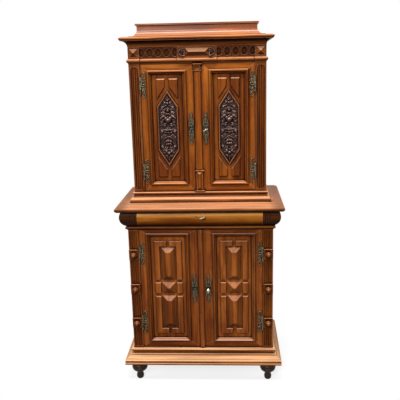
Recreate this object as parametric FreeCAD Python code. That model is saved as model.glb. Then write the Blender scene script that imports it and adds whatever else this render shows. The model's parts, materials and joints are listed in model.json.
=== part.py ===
import FreeCAD
import Part
import math
import os

# Two-body walnut buffet in the Renaissance revival manner, in millimetres.
# X runs to the right, Y to the back and Z up. The origin is on the floor below the middle of the table.

Vector = FreeCAD.Vector
SIDES = (-1, 1)
FLAT_TOLERANCE = 1e-6

# Heights of the stacked stages, from the floor to the crown.
foot_height = 108.0
plinth_height = 92.0
lower_case_height = 740.0
waist_height = 22.0
drawer_stage_height = 95.0
table_thickness = 28.0
base_height = 58.0
upper_case_height = 723.0
band_height = 29.0
frieze_height = 63.0
cornice_height = 54.0
hood_height = 72.0

# Widths and depths of the table and of the two cases, which share one back plane.
table_width = 950.0
table_depth = 550.0
rear_overhang = 13.0
lower_width = 831.0
lower_depth = 467.0
upper_width = 760.0
upper_depth = 387.0

# Boards and running clearances.
case_wall = 30.0
board_thickness = 22.0
back_thickness = 12.0
side_thickness = 25.0
side_stile_width = 60.0
side_top_rail_height = 70.0
side_bottom_rail_height = 90.0
side_panel_thickness = 12.0
side_panel_margin = 22.0
side_panel_rise = 5.0
door_clearance = 1.5
hinge_side_clearance = 2.5
meeting_clearance = 2.5
drawer_clearance = 1.5
seat_clearance = 0.3
pin_clearance = 0.05

# How far each moulding stands out from the face of its case.
plinth_reach = 51.0
waist_reach = 13.0
torus_reach = 40.0
table_nose = 24.0
base_reach = 25.0
band_reach = 9.0
band_break = 4.0
cornice_reach = 41.0
hood_inset = 47.0
hood_reach = 43.0
hood_wall = 20.0

# Turned feet.
foot_radius = 47.0
foot_facets = 24
foot_inset_x = 28.5
rear_foot_width = 60.0
rear_foot_taper = 8.0
rear_foot_inset = 12.0

# Corner posts of the two cases.
lower_post_width = 58.5
upper_post_width = 61.0
post_depth = 55.0
flute_count = 4
flute_radius = 5.0
flute_facets = 8
flute_end_margin = 10.0
niche_width = 42.0
niche_depth = 6.0
niche_end_margin = 13.0
reed_count = 3
reed_radius = 5.0
reed_facets = 6
reed_spacing = 12.0

# Rosette blocks on the lower posts.
rosette_height = 62.0
rosette_block_rise = 10.0
rosette_cap_height = 7.0
rosette_cap_rise = 4.0
rosette_radius = 18.0
rosette_rise = 24.0
rosette_facets = 12

# Door leaves.
door_recess = 4.0
door_thickness = 24.0
panel_recess = 10.0
panel_thickness = 10.0
bolection_width = 22.0
bolection_rise = 9.0
bolection_overlap = 8.0
upper_moulding_near = 62.0
upper_moulding_far_margin = 37.0
upper_moulding_low_margin = 38.0
upper_moulding_high_margin = 34.0
lower_moulding_near = 67.0
lower_moulding_far_margin = 41.0
lower_moulding_low_margin = 37.0
lower_moulding_high_margin = 23.0

# Carved lozenge and raised fields of the upper panels, set in from the moulding round the panel.
lozenge_side_margin = 28.0
lozenge_end_margin = 91.5
lozenge_point_height = 88.0
lozenge_border = 9.0
lozenge_rise = 8.0
lozenge_ground_rise = 2.5
lozenge_chamfer = 3.0
field_inner = 10.0
field_side_margin = 26.0
field_end_margin = 24.0
field_gap = 35.8
field_rise = 7.0
field_chamfer = 5.0

# Strips, blocks and points of the lower panels, set in from the moulding round the panel.
strip_side_margin = 21.0
strip_end_margin = 27.0
strip_width = 36.0
strip_groove = 13.0
strip_rise = 8.0
strip_chamfer = 4.0
middle_half_height = 36.0
point_groove = 5.0
point_rise = 15.0
point_ridge_half_width = 12.0
middle_point_flat = 3.0

# Battens on the right-hand leaves.
upper_batten_width = 40.0
lower_batten_width = 29.0
batten_rise = 9.0
batten_chamfer = 4.0
batten_edge = 0.5
batten_cap_width = 54.0
batten_cap_height = 6.0
batten_cap_rise = 15.0
batten_block_width = 44.0
batten_block_height = 30.0
batten_neck_height = 5.0
batten_neck_rise = 12.0
batten_pedestal_height = 112.0
batten_pedestal_width = 38.0
batten_point_margin = 4.0
batten_point_rise = 8.0
batten_sunk_margin = 7.0
batten_sunk_depth = 4.0

# Hinges: a fixed leaf with its pin on the post, a pierced plate with its knuckle on the door.
barrel_radius = 4.5
barrel_length = 90.0
barrel_facets = 10
pin_radius = 2.0
fixed_leaf_thickness = 1.0
fixed_leaf_depth = 30.0
hinge_plate_height = 146.0
hinge_plate_width = 27.0
hinge_plate_thickness = 2.0
hinge_web_width = 2.4
upper_hinge_end_margin = 117.5
lower_hinge_end_margin = 157.0

# Escutcheons, locks and keys.
escutcheon_height = 179.0
escutcheon_width = 33.0
escutcheon_thickness = 2.5
escutcheon_x = 40.5
keyhole_radius = 4.0
keyhole_slot_width = 4.0
keyhole_slot_length = 11.0
key_drop = 6.0
key_shaft_radius = 3.0
key_bow_width = 33.0
key_bow_length = 22.0
key_bow_thickness = 4.5
key_bow_ring = 5.5
key_bow_facets = 14
key_stem_length = 9.0
key_bit_length = 8.0
key_bit_reach = 9.0
key_bit_thickness = 3.0
upper_key_angle = -25.0
lower_key_angle = 80.0
drawer_key_angle = -20.0
lock_setback = 6.0
lock_width = 74.0
lock_height = 86.0
lock_depth = 17.0
lock_wall = 2.0
bolt_height = 14.0
bolt_thickness = 8.0
bolt_length = 44.0
bolt_lift = 12.0

# Drawer.
drawer_key_x = 17.0
drawer_key_height_share = 0.66
drawer_front_wall = 25.0
drawer_side_thickness = 12.0
drawer_side_height = 70.0
drawer_bottom_thickness = 8.0
drawer_bottom_rise = 5.0
drawer_back_gap = 35.0
drawer_stem_length = 5.0
runner_thickness = 6.7
runner_width = 24.0
runner_front_gap = 5.0
drawer_lock_width = 70.0
drawer_lock_rise = 32.7
drawer_lock_top_gap = 2.3
drawer_bolt_throw = 9.0
drawer_bolt_width = 26.0
torus_reed_count = 3
torus_reed_width = 7.0
torus_reed_pitch = 13.0
torus_reed_depth = 3.0

# Shelves.
shelf_thickness = 18.0
shelf_setback = 4.0
cleat_width = 12.0
cleat_height = 20.0
upper_shelf_shares = (0.34, 0.67)
lower_shelf_shares = (0.5,)

# Frieze ornament.
frieze_recess = 8.0
frieze_corner_width = 63.0
frieze_block_rise = 3.0
frieze_plate_half_width = 108.0
frieze_fret_thickness = 6.0
frieze_point_margin = 10.0
frieze_point_rise = 9.0
frieze_lozenge_half_length = 66.0
frieze_lozenge_half_height = 21.0
frieze_ridge_flat = 1.0
cabochon_length = 34.0
cabochon_half_height = 23.0
cabochon_rise = 7.0
cabochon_rim = 4.0
oval_count = 5
oval_facets = 8
oval_pitch_share = 0.223
oval_half_width_share = 0.32
oval_half_height = 22.0
fret_triangle_half_width_share = 0.13
fret_triangle_height = 9.0
fret_triangle_margin = 6.0

# Moulding profiles as shares of reach and height; four numbers give an arc's end and a point on it.
plinth_shares = (
    (0.90, 0.0), (1.0, 0.05), (1.0, 0.13), (0.93, 0.17), (0.93, 0.19), (0.97, 0.22), (0.97, 0.31),
    (0.90, 0.345), (0.82, 0.365), (0.60, 0.47, 0.72, 0.44), (0.37, 0.60, 0.44, 0.52), (0.37, 0.63),
    (0.13, 0.65), (0.13, 0.82), (0.30, 0.85), (0.35, 0.88), (0.35, 0.94), (0.27, 0.985), (0.08, 1.0),
)
waist_shares = (
    (0.2, 0.0), (0.7, 0.36), (0.85, 0.36), (0.85, 0.86, 1.0, 0.61), (0.4, 0.86), (0.4, 1.0),
)
torus_shares = ((0.05, 0.0), (1.0, 0.62, 0.742, 0.2516), (0.7, 1.0, 0.923, 0.821))
table_shares = ((0.62, 0.0), (0.74, 0.14), (0.80, 0.86, 1.0, 0.5), (0.30, 0.91), (0.25, 1.0))
base_shares = (
    (1.0, 0.0), (1.0, 0.22), (0.62, 0.40, 0.86, 0.35), (0.32, 0.58, 0.40, 0.45), (0.32, 0.62),
    (0.12, 0.63), (0.12, 0.79), (0.40, 0.81), (0.44, 0.84), (0.44, 0.94), (0.2, 1.0),
)
band_shares = ((0.0, 0.0), (0.25, 0.25), (0.75, 0.38), (1.0, 0.48), (1.0, 0.70), (0.85, 0.80), (0.3, 1.0))
frieze_shares = ((0.0, 0.0), (0.0, 1.0))
cornice_shares = (
    (0.02, 0.0), (0.80, 0.62, 0.22, 0.40), (0.88, 0.62), (0.88, 0.67), (0.93, 0.93, 1.0, 0.79), (0.58, 1.0),
)
hood_shares = (
    (1.0, 0.0), (1.0, 0.05), (0.0, 0.50, 0.30, 0.17), (0.0, 0.86), (0.19, 0.88), (0.19, 1.0),
)
bolection_shares = (
    (0.0, 0.0), (0.0, 0.3), (0.12, 0.82), (0.34, 1.0), (0.46, 1.0), (0.60, 0.28), (0.80, 0.0), (0.88, 0.0),
)

# Turned profiles as shares of radius and height.
foot_shares = (
    (0.34, 0.0), (0.43, 0.05), (0.46, 0.18), (0.40, 0.36), (0.62, 0.48), (0.88, 0.57), (0.97, 0.67),
    (1.0, 0.75), (1.0, 0.84), (0.88, 0.94), (0.82, 1.0),
)
rosette_shares = (
    (1.0, 0.0), (1.0, 0.20), (0.74, 0.42), (0.60, 0.35), (0.48, 0.66), (0.20, 0.80), (0.12, 1.0),
)

# A quarter of the escutcheon and half of the hinge plate, as shares of half width or width and half height.
escutcheon_shares = (
    (0.0, 1.0), (0.34, 0.96), (0.55, 0.87), (0.42, 0.77), (0.26, 0.68), (0.36, 0.58), (0.80, 0.48),
    (1.0, 0.38), (0.86, 0.27), (0.70, 0.20), (0.92, 0.11), (1.0, 0.0),
)
hinge_plate_shares = (
    (0.0, 0.0), (0.0, 0.60), (0.12, 0.72), (0.10, 0.86), (0.28, 1.0), (0.62, 0.98), (0.84, 0.84),
    (0.66, 0.70), (0.78, 0.58), (1.0, 0.44), (0.92, 0.28), (0.70, 0.16), (0.86, 0.0),
)
hinge_piercing_shares = (
    ((0.30, 0.44), (0.50, 0.32), (0.66, 0.44), (0.48, 0.58)),
    ((0.24, 0.14), (0.42, 0.06), (0.52, 0.16), (0.40, 0.24)),
)

# Levels of the stages.
plinth_z = foot_height
lower_z = plinth_z + plinth_height
waist_z = lower_z + lower_case_height
drawer_z = waist_z + waist_height
table_z = drawer_z + drawer_stage_height
base_z = table_z + table_thickness
upper_z = base_z + base_height
band_z = upper_z + upper_case_height
frieze_z = band_z + band_height
cornice_z = frieze_z + frieze_height
hood_z = cornice_z + cornice_height
top_z = hood_z + hood_height

# Planes of the cases.
table_half = table_width / 2
table_front = -table_depth / 2
back_y = table_depth / 2 - rear_overhang
back_board_y = back_y - back_thickness
lower_half = lower_width / 2
lower_front = back_y - lower_depth
upper_half = upper_width / 2
upper_front = back_y - upper_depth
lower_inner = lower_half - case_wall
upper_inner = upper_half - case_wall
lower_side_inner = lower_half - side_thickness
upper_side_inner = upper_half - side_thickness
lower_opening_half = lower_half - lower_post_width
upper_opening_half = upper_half - upper_post_width
lower_post_back = lower_front + post_depth
upper_post_back = upper_front + post_depth
drawer_half = lower_opening_half - drawer_clearance * 2
torus_block_inner = drawer_half + drawer_clearance
drawer_key_z = drawer_z + drawer_stage_height * drawer_key_height_share
cut_overrun = case_wall


def block(xs, ys, zs):
    """Box between two values on each axis, given in any order."""
    low = Vector(min(xs), min(ys), min(zs))
    high = Vector(max(xs), max(ys), max(zs))
    size = high - low
    return Part.makeBox(size.x, size.y, size.z, low)


def outline(path, place):
    """Closed wire along a path; an entry of four numbers is an arc's end and a point on the arc."""
    edges = []
    last = path[0]
    for entry in path[1:]:
        end = entry[:2]
        if len(entry) == 4:
            edges.append(Part.Arc(place(*last), place(*entry[2:]), place(*end)).toShape())
        else:
            edges.append(Part.makeLine(place(*last), place(*end)))
        last = end
    if last != path[0]:
        edges.append(Part.makeLine(place(*last), place(*path[0])))
    return Part.Wire(edges)


def prism(path, place, run):
    """Solid made by extruding a closed path along a vector."""
    return Part.Face(outline(path, place)).extrude(run)


def scaled(shares, reach, height):
    """Path in millimetres from shares of a reach and a height."""
    sizes = (reach, height)
    return [tuple(share * sizes[i % 2] for i, share in enumerate(entry)) for entry in shares]


def elevation(depth):
    """Placing function for a path drawn on the upright plane at a given Y."""
    return lambda x, z: Vector(x, depth, z)


def oval(x, z, half_width, half_height, count, turns=1):
    """Even points on an ellipse round a centre; a half turn gives its right-hand half."""
    points = []
    steps = count if turns == 1 else count - 1
    for i in range(count):
        angle = math.pi * turns * (2 * i / steps - 1)
        points.append((x + half_width * math.cos(angle), z + half_height * math.sin(angle)))
    return points


def plan(height):
    """Placing function for a path drawn on the level plane at a given Z."""
    return lambda x, y: Vector(x, y, height)


def turned(path, facets, place):
    """Turned form with even facets round its axis; the path gives radius and height, place puts a point."""
    rings = []
    for radius, height in path:
        rings.append([place(across, along, height) for across, along in oval(0, 0, radius, radius, facets)])
    faces = [flat_face(rings[0]), flat_face(rings[-1])]
    for low, high in zip(rings, rings[1:]):
        for i in range(facets):
            faces.append(flat_face([low[i - 1], low[i], high[i], high[i - 1]]))
    return closed_solid(faces)


def inset(points, distance):
    """Corners of a polygon moved inwards by a distance; the corners run anticlockwise."""
    moved = []
    count = len(points)
    for i in range(count):
        before = Vector(*points[i - 1], 0)
        here = Vector(*points[i], 0)
        after = Vector(*points[(i + 1) % count], 0)
        first = (here - before).normalize()
        second = (after - here).normalize()
        first_normal = Vector(-first.y, first.x, 0)
        second_normal = Vector(-second.y, second.x, 0)
        bisector = first_normal + second_normal
        step = bisector * (distance / (1 + first_normal.dot(second_normal)))
        moved.append(((here + step).x, (here + step).y))
    return moved


def anticlockwise(points):
    """Polygon corners in anticlockwise order."""
    area = sum(a[0] * b[1] - b[0] * a[1] for a, b in zip(points, points[1:] + points[:1]))
    return points if area > 0 else points[::-1]


def flat_face(corners):
    """Flat face through a ring of corners."""
    return Part.Face(Part.makePolygon(corners + corners[:1]))


def closed_solid(faces):
    """Solid bounded by flat faces that meet at their edges."""
    solid = Part.Solid(Part.Shell(faces))
    solid.fix(FLAT_TOLERANCE, FLAT_TOLERANCE, FLAT_TOLERANCE)
    return solid


def raised(base, top, base_place, top_place):
    """Solid with flat sides between two polygons with as many corners, one in front of the other."""
    low = [base_place(*point) for point in base]
    high = [top_place(*point) for point in top]
    faces = [flat_face(low), flat_face(high)]
    for i in range(len(low)):
        faces.append(flat_face([low[i - 1], low[i], high[i], high[i - 1]]))
    return closed_solid(faces)


def chamfered(points, front, rise, chamfer):
    """Flat raised shape on an upright plane, with its front edges sloped all round."""
    base = anticlockwise(points)
    return raised(base, inset(base, chamfer), elevation(front), elevation(front - rise))


def rectangle(x0, x1, z0, z1):
    """Corners of a rectangle, anticlockwise."""
    return [(x0, z0), (x1, z0), (x1, z1), (x0, z1)]


def spread(count, pitch):
    """Offsets of a row of places with an even pitch, centred on zero."""
    return [(i - (count - 1) / 2) * pitch for i in range(count)]


def mitre_front(half, front, reach, bottom, height, wall):
    """Space that the front member of a mitred moulding keeps to."""
    outer = reach + cut_overrun
    corners = [
        (wall - half, front + wall), (half - wall, front + wall),
        (half + outer, front - outer), (-half - outer, front - outer),
    ]
    return prism(corners, plan(bottom - cut_overrun), Vector(0, 0, height + 2 * cut_overrun))


def mitre_side(side, half, front, reach, bottom, height, wall):
    """Space that one side member of a mitred moulding keeps to."""
    outer = reach + cut_overrun
    corners = [
        (side * (half - wall), front + wall), (side * (half - wall), back_y),
        (side * (half + outer), back_y), (side * (half + outer), front - outer),
    ]
    return prism(corners, plan(bottom - cut_overrun), Vector(0, 0, height + 2 * cut_overrun))


def moulding_run(half, front, bottom, reach, height, shares, wall=case_wall):
    """Front member and two side members of a moulding mitred round three sides of a case."""
    profile = [(-wall, 0)] + scaled(shares, reach, height) + [(-wall, height)]
    span = half + reach + cut_overrun
    bar = prism(profile, lambda u, v: Vector(-span, front - u, bottom + v), Vector(2 * span, 0, 0))
    members = [bar.common(mitre_front(half, front, reach, bottom, height, wall))]
    start = front - reach - cut_overrun
    for side in SIDES:
        bar = prism(
            profile,
            lambda u, v: Vector(side * (half + u), start, bottom + v),
            Vector(0, back_y - start, 0),
        )
        members.append(bar.common(mitre_side(side, half, front, reach, bottom, height, wall)))
    return [member.Solids[0] for member in members]


def feet():
    """Turned feet under the front, each a ball, a bulb and a collar, and plain tapered blocks behind."""
    pieces = []
    path = scaled(foot_shares, foot_radius, foot_height)
    half = rear_foot_width / 2
    rear_y = back_y - rear_foot_inset - half
    for side in SIDES:
        x = side * (lower_half - foot_inset_x)
        pieces.append(turned(path, foot_facets, lambda u, v, h: Vector(x + u, lower_front + v, h)))
        top = rectangle(x - half, x + half, rear_y - half, rear_y + half)
        pieces.append(raised(inset(top, rear_foot_taper), top, plan(0), plan(foot_height)))
    return pieces


def plinth_moulding():
    """Mitred plinth of three moulded members, closed at the back by a plain rail."""
    members = moulding_run(lower_half, lower_front, plinth_z, plinth_reach, plinth_height, plinth_shares)
    rail_ys = (back_y - board_thickness, back_y)
    rail = block((-lower_inner, lower_inner), rail_ys, (plinth_z, lower_z - board_thickness))
    return members + [rail]


def lower_case_boards():
    """Floor of the lower case and the board between the doors and the drawer."""
    xs = (-lower_inner, lower_inner)
    ys = (lower_front + case_wall, back_y)
    return [block(xs, ys, (lower_z - board_thickness, lower_z)), block(xs, ys, (waist_z, drawer_z))]


def lower_posts():
    """Front corner posts of the lower case, fluted on the face."""
    posts = []
    pitch = lower_post_width / (flute_count + 1)
    bottom = lower_z + flute_end_margin
    length = lower_case_height - 2 * flute_end_margin
    for side in SIDES:
        xs = (side * lower_opening_half, side * lower_half)
        post = block(xs, (lower_front, lower_post_back), (lower_z, waist_z))
        flutes = []
        for i in range(flute_count):
            x = side * (lower_opening_half + pitch * (i + 1))
            section = oval(x, lower_front, flute_radius, flute_radius, flute_facets)
            flutes.append(prism(section, plan(bottom), Vector(0, 0, length)))
        posts.append(post.cut(flutes).Solids[0])
    return posts


def rosettes():
    """Square blocks with a capped top edge and a turned boss, on the posts beside the hinges and halfway."""
    pieces = []
    leaf = lower_leaf(1)
    levels = (leaf.hinge_zs[0], leaf.middle_z, leaf.hinge_zs[1])
    face = lower_front - rosette_block_rise
    inner = lower_opening_half - fixed_leaf_thickness + barrel_radius + seat_clearance
    path = scaled(rosette_shares, rosette_radius, rosette_rise)
    for side in SIDES:
        for z in levels:
            bottom = z - rosette_height / 2
            top = z + rosette_height / 2
            profile = [
                (lower_front, bottom), (face, bottom), (face, top - rosette_cap_height),
                (face - rosette_cap_rise, top - rosette_cap_height / 2),
                (face - rosette_cap_rise, top), (lower_front, top),
            ]
            run = Vector(side * (lower_half - inner), 0, 0)
            pieces.append(prism(profile, lambda y, h: Vector(side * inner, y, h), run))
            centre = Vector(side * (inner + lower_half) / 2, face, z - rosette_cap_height / 2)
            place = lambda u, v, h: centre + Vector(u, -h, v)
            pieces.append(turned(path, rosette_facets, place))
    return pieces


def framed_side(side, half, inner, front, bottom, height):
    """Side of a case behind its post: rear stile, two rails and a fielded panel."""
    top = bottom + height
    xs = (side * inner, side * half)
    stile_y = back_y - side_stile_width
    panel_z = (bottom + side_bottom_rail_height, top - side_top_rail_height)
    pieces = [
        block(xs, (stile_y, back_y), (bottom, top)),
        block(xs, (front, stile_y), (bottom, panel_z[0])),
        block(xs, (front, stile_y), (panel_z[1], top)),
    ]
    middle = (half + inner) / 2
    panel_xs = (side * (middle - side_panel_thickness / 2), side * (middle + side_panel_thickness / 2))
    board = block(panel_xs, (front, stile_y), panel_z)
    field = anticlockwise(rectangle(
        front + side_panel_margin, stile_y - side_panel_margin,
        panel_z[0] + side_panel_margin, panel_z[1] - side_panel_margin,
    ))
    face = panel_xs[1]
    pieces.append(board)
    pieces.append(raised(
        field, inset(field, side_panel_rise),
        lambda y, z: Vector(face, y, z), lambda y, z: Vector(face + side * side_panel_rise, y, z),
    ))
    return pieces


def lower_sides():
    """Framed and panelled sides of the lower case."""
    pieces = []
    for side in SIDES:
        pieces += framed_side(side, lower_half, lower_side_inner, lower_post_back, lower_z, lower_case_height)
    return pieces


def upper_sides():
    """Framed and panelled sides of the upper case."""
    pieces = []
    for side in SIDES:
        pieces += framed_side(side, upper_half, upper_side_inner, upper_post_back, upper_z, upper_case_height)
    return pieces


def lower_back_panel():
    """Back boards of the lower case and of the drawer stage."""
    ys = (back_board_y, back_y)
    case_board = block((-lower_side_inner, lower_side_inner), ys, (lower_z, waist_z))
    stage_board = block((-lower_opening_half, lower_opening_half), ys, (drawer_z, table_z))
    return [case_board, stage_board]


def shelf_levels():
    """Underside of every shelf with the inner face of its case and the back of its posts."""
    levels = []
    for share in lower_shelf_shares:
        levels.append((lower_z + lower_case_height * share, lower_side_inner, lower_post_back))
    for share in upper_shelf_shares:
        levels.append((upper_z + upper_case_height * share, upper_side_inner, upper_post_back))
    return levels


def shelves():
    """Plain shelves resting on cleats."""
    boards = []
    for z, inner, front in shelf_levels():
        half = inner - seat_clearance
        ys = (front + shelf_setback, back_board_y - seat_clearance)
        boards.append(block((-half, half), ys, (z, z + shelf_thickness)))
    return boards


def shelf_cleats():
    """Bearers under the ends of the shelves, from the post to the back."""
    cleats = []
    for z, inner, front in shelf_levels():
        for side in SIDES:
            xs = (side * (inner - cleat_width), side * inner)
            cleats.append(block(xs, (front, back_board_y), (z - cleat_height, z)))
    return cleats


def waist_moulding():
    """Mitred moulding over the lower doors."""
    return moulding_run(lower_half, lower_front, waist_z, waist_reach, waist_height, waist_shares)


def waist_side_boards():
    """Boards either side of the drawer that carry the table."""
    front = lower_front + drawer_front_wall
    boards = []
    for side in SIDES:
        xs = (side * lower_opening_half, side * lower_inner)
        boards.append(block(xs, (front, back_y), (drawer_z, table_z)))
    return boards


def torus_path(reach, wall, height):
    """Half-round profile of the drawer stage, closed by a wall behind it."""
    return [(-wall, 0)] + scaled(torus_shares, reach, height) + [(-wall, height)]


def torus_groove(side, x):
    """Sliver that cuts one upright groove into the round of a corner block."""
    start = lower_front - torus_reach - cut_overrun
    xs = (side * (x - torus_reed_width / 2), side * (x + torus_reed_width / 2))
    path = torus_path(torus_reach - torus_reed_depth, drawer_front_wall / 2, drawer_stage_height)
    place = lambda u, v: Vector(min(xs), lower_front - u, drawer_z + v)
    slot = block(xs, (start, lower_front), (drawer_z - cut_overrun, table_z + cut_overrun))
    return slot.cut(prism(path, place, Vector(torus_reed_width, 0, 0)))


def waist_torus():
    """Rounded corner blocks beside the drawer, reeded next to it, that run back along the sides."""
    blocks = []
    start = lower_front - torus_reach - cut_overrun
    width = lower_half - torus_block_inner
    front_path = torus_path(torus_reach, back_y - lower_front, drawer_stage_height)
    side_path = torus_path(torus_reach, width, drawer_stage_height)
    front_run = width + torus_reach + cut_overrun
    for side in SIDES:
        front_place = lambda u, v: Vector(side * torus_block_inner, lower_front - u, drawer_z + v)
        side_place = lambda u, v: Vector(side * (lower_half + u), start, drawer_z + v)
        front_bar = prism(front_path, front_place, Vector(side * front_run, 0, 0))
        side_bar = prism(side_path, side_place, Vector(0, back_y - start, 0))
        hollow = block(
            (side * (torus_block_inner - cut_overrun), side * lower_inner),
            (lower_front + drawer_front_wall, back_y + cut_overrun),
            (drawer_z - cut_overrun, table_z + cut_overrun),
        )
        tools = [hollow]
        for i in range(torus_reed_count):
            tools.append(torus_groove(side, torus_block_inner + torus_reed_pitch * (i + 1)))
        blocks.append(front_bar.common(side_bar).cut(tools).Solids[0])
    return blocks


def drawer_runners():
    """Wooden runners on the dividing board under the drawer sides."""
    runners = []
    front = lower_front + drawer_front_wall + runner_front_gap
    for side in SIDES:
        xs = (side * (lower_opening_half - runner_width), side * lower_opening_half)
        runners.append(block(xs, (front, back_board_y), (drawer_z, drawer_z + runner_thickness)))
    return runners


def drawer_bolt_space():
    """Resting place of the drawer's bolt behind the drawer front, as three spans."""
    low = drawer_key_z + bolt_lift
    high = table_z - drawer_lock_top_gap
    front = lower_front + drawer_front_wall + lock_wall
    half = drawer_bolt_width / 2
    return (drawer_key_x - half, drawer_key_x + half), (front, front + bolt_thickness), (low, high)


def table_top():
    """Table board with a rounded nose on the front and sides and a slot for the drawer's bolt."""
    nose = scaled(table_shares, table_nose, table_thickness)
    half = table_half - table_nose
    front = table_front + table_nose
    span = table_half + cut_overrun
    front_path = [(-table_depth + table_nose, 0)] + nose + [(-table_depth + table_nose, table_thickness)]
    slab = prism(front_path, lambda u, v: Vector(-span, front - u, table_z + v), Vector(2 * span, 0, 0))
    side_path = [(-table_width, 0)] + nose + [(-table_width, table_thickness)]
    for side in SIDES:
        place = lambda u, v: Vector(side * (half + u), -span, table_z + v)
        slab = slab.common(prism(side_path, place, Vector(0, 2 * span, 0)))
    xs, ys, zs = drawer_bolt_space()
    slot = block(
        (xs[0] - drawer_clearance, xs[1] + drawer_clearance),
        (ys[0] - drawer_clearance, ys[1] + drawer_clearance),
        (table_z - cut_overrun, zs[1] + drawer_bolt_throw + drawer_clearance),
    )
    return [slab.cut(slot).Solids[0]]


def upper_base_moulding():
    """Mitred moulding that seats the upper case on the table."""
    return moulding_run(upper_half, upper_front, base_z, base_reach, base_height, base_shares)


def upper_case_boards():
    """Floor and ceiling of the upper case."""
    boards = []
    for bottom in (upper_z - board_thickness, band_z):
        ys = (upper_front + case_wall, back_y)
        boards.append(block((-upper_inner, upper_inner), ys, (bottom, bottom + board_thickness)))
    return boards


def upper_posts():
    """Front corner posts of the upper case: a round-ended niche filled with reeds."""
    pieces = []
    w = niche_width / 2
    bottom = upper_z + niche_end_margin
    top = band_z - niche_end_margin
    floor = upper_front + niche_depth
    for side in SIDES:
        x = side * (upper_opening_half + upper_half) / 2
        xs = (side * upper_opening_half, side * upper_half)
        post = block(xs, (upper_front, upper_post_back), (upper_z, band_z))
        niche = [
            (x - w, bottom + w), (x - w, top - w), (x + w, top - w, x, top),
            (x + w, bottom + w), (x - w, bottom + w, x, bottom),
        ]
        cutter = prism(niche, elevation(upper_front - cut_overrun), Vector(0, cut_overrun + niche_depth, 0))
        pieces.append(post.cut(cutter).Solids[0])
        for offset in spread(reed_count, reed_spacing):
            end = w - math.sqrt(w ** 2 - (abs(offset) + reed_radius) ** 2)
            half_round = oval(0, 0, reed_radius, reed_radius, reed_facets, 0.5)
            section = [(x + offset + v, floor - u) for u, v in half_round]
            length = top - bottom - 2 * end
            pieces.append(prism(section, plan(bottom + end), Vector(0, 0, length)))
    return pieces


def upper_back_panel():
    """Back boards of the upper case, of its base and of the hollows behind the frieze and the hood."""
    ys = (back_board_y, back_y)
    hood_inner = upper_half - hood_inset - hood_wall
    stages = (
        (upper_inner, base_z, upper_z - board_thickness), (upper_side_inner, upper_z, band_z),
        (upper_inner, band_z + board_thickness, hood_z), (hood_inner, hood_z, top_z - board_thickness),
    )
    return [block((-half, half), ys, (bottom, top)) for half, bottom, top in stages]


def necking_band():
    """Moulding under the frieze, standing forward at the corners and in the middle."""
    members = moulding_run(upper_half, upper_front, band_z, band_reach, band_height, band_shares)
    corner = upper_half - frieze_corner_width
    reach = upper_half + band_reach + cut_overrun
    ys = (upper_front - band_reach - cut_overrun, upper_front + case_wall + cut_overrun)
    zs = (band_z - cut_overrun, frieze_z + cut_overrun)
    pieces = members[1:]
    for xs in ((-reach, -corner), (-frieze_plate_half_width, frieze_plate_half_width), (corner, reach)):
        pieces.append(members[0].common(block(xs, ys, zs)).Solids[0])
    profile = [(band_break - case_wall, 0)] + scaled(band_shares, band_reach, band_height)
    profile.append((band_break - case_wall, band_height))
    front = upper_front + band_break
    for side in SIDES:
        start = side * frieze_plate_half_width
        run = Vector(side * (corner - frieze_plate_half_width), 0, 0)
        pieces.append(prism(profile, lambda u, v: Vector(start, front - u, band_z + v), run))
    return pieces


def frieze_boards():
    """Front and side boards of the frieze, set back behind its ornament."""
    front = upper_front + frieze_recess
    return moulding_run(upper_half, front, frieze_z, frieze_recess, frieze_height, frieze_shares)


def hip(points, front, rise, flat):
    """Hipped point on an upright plane: four slopes that leave a flat of a given half width."""
    xs = [point[0] for point in points]
    zs = [point[1] for point in points]
    half = min(max(xs) - min(xs), max(zs) - min(zs)) / 2
    return chamfered(points, front, rise, half - flat)


def frieze_blocks():
    """Corner blocks with diamond points, and the middle plate with a hipped lozenge between cabochons."""
    ground = upper_front + frieze_recess
    front = upper_front - frieze_block_rise
    corner = upper_half - frieze_corner_width
    middle = frieze_z + frieze_height / 2
    plate_xs = (-frieze_plate_half_width, frieze_plate_half_width)
    pieces = [block(plate_xs, (front, ground), (frieze_z, cornice_z))]
    lozenge = rectangle(
        -frieze_lozenge_half_length, frieze_lozenge_half_length,
        middle - frieze_lozenge_half_height, middle + frieze_lozenge_half_height,
    )
    pieces.append(hip(lozenge, front, frieze_point_rise, frieze_ridge_flat))
    for side in SIDES:
        xs = (side * corner, side * upper_half)
        pieces.append(block(xs, (front, ground), (frieze_z, cornice_z)))
        point = rectangle(
            min(xs) + frieze_point_margin, max(xs) - frieze_point_margin,
            frieze_z + frieze_point_margin, cornice_z - frieze_point_margin,
        )
        pieces.append(hip(point, front, frieze_point_rise, frieze_ridge_flat))
        flat_x = side * (frieze_lozenge_half_length + seat_clearance)
        outer = oval(flat_x, middle, side * cabochon_length, cabochon_half_height, oval_facets, 0.5)
        inner = inset(anticlockwise(outer), cabochon_rim)
        disc = prism(outer, elevation(front), Vector(0, -cabochon_rise, 0))
        hollow = prism(inner, elevation(front - cabochon_rise / 2), Vector(0, -cabochon_rise, 0))
        pieces.append(disc.cut(hollow).Solids[0])
    return pieces


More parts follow.
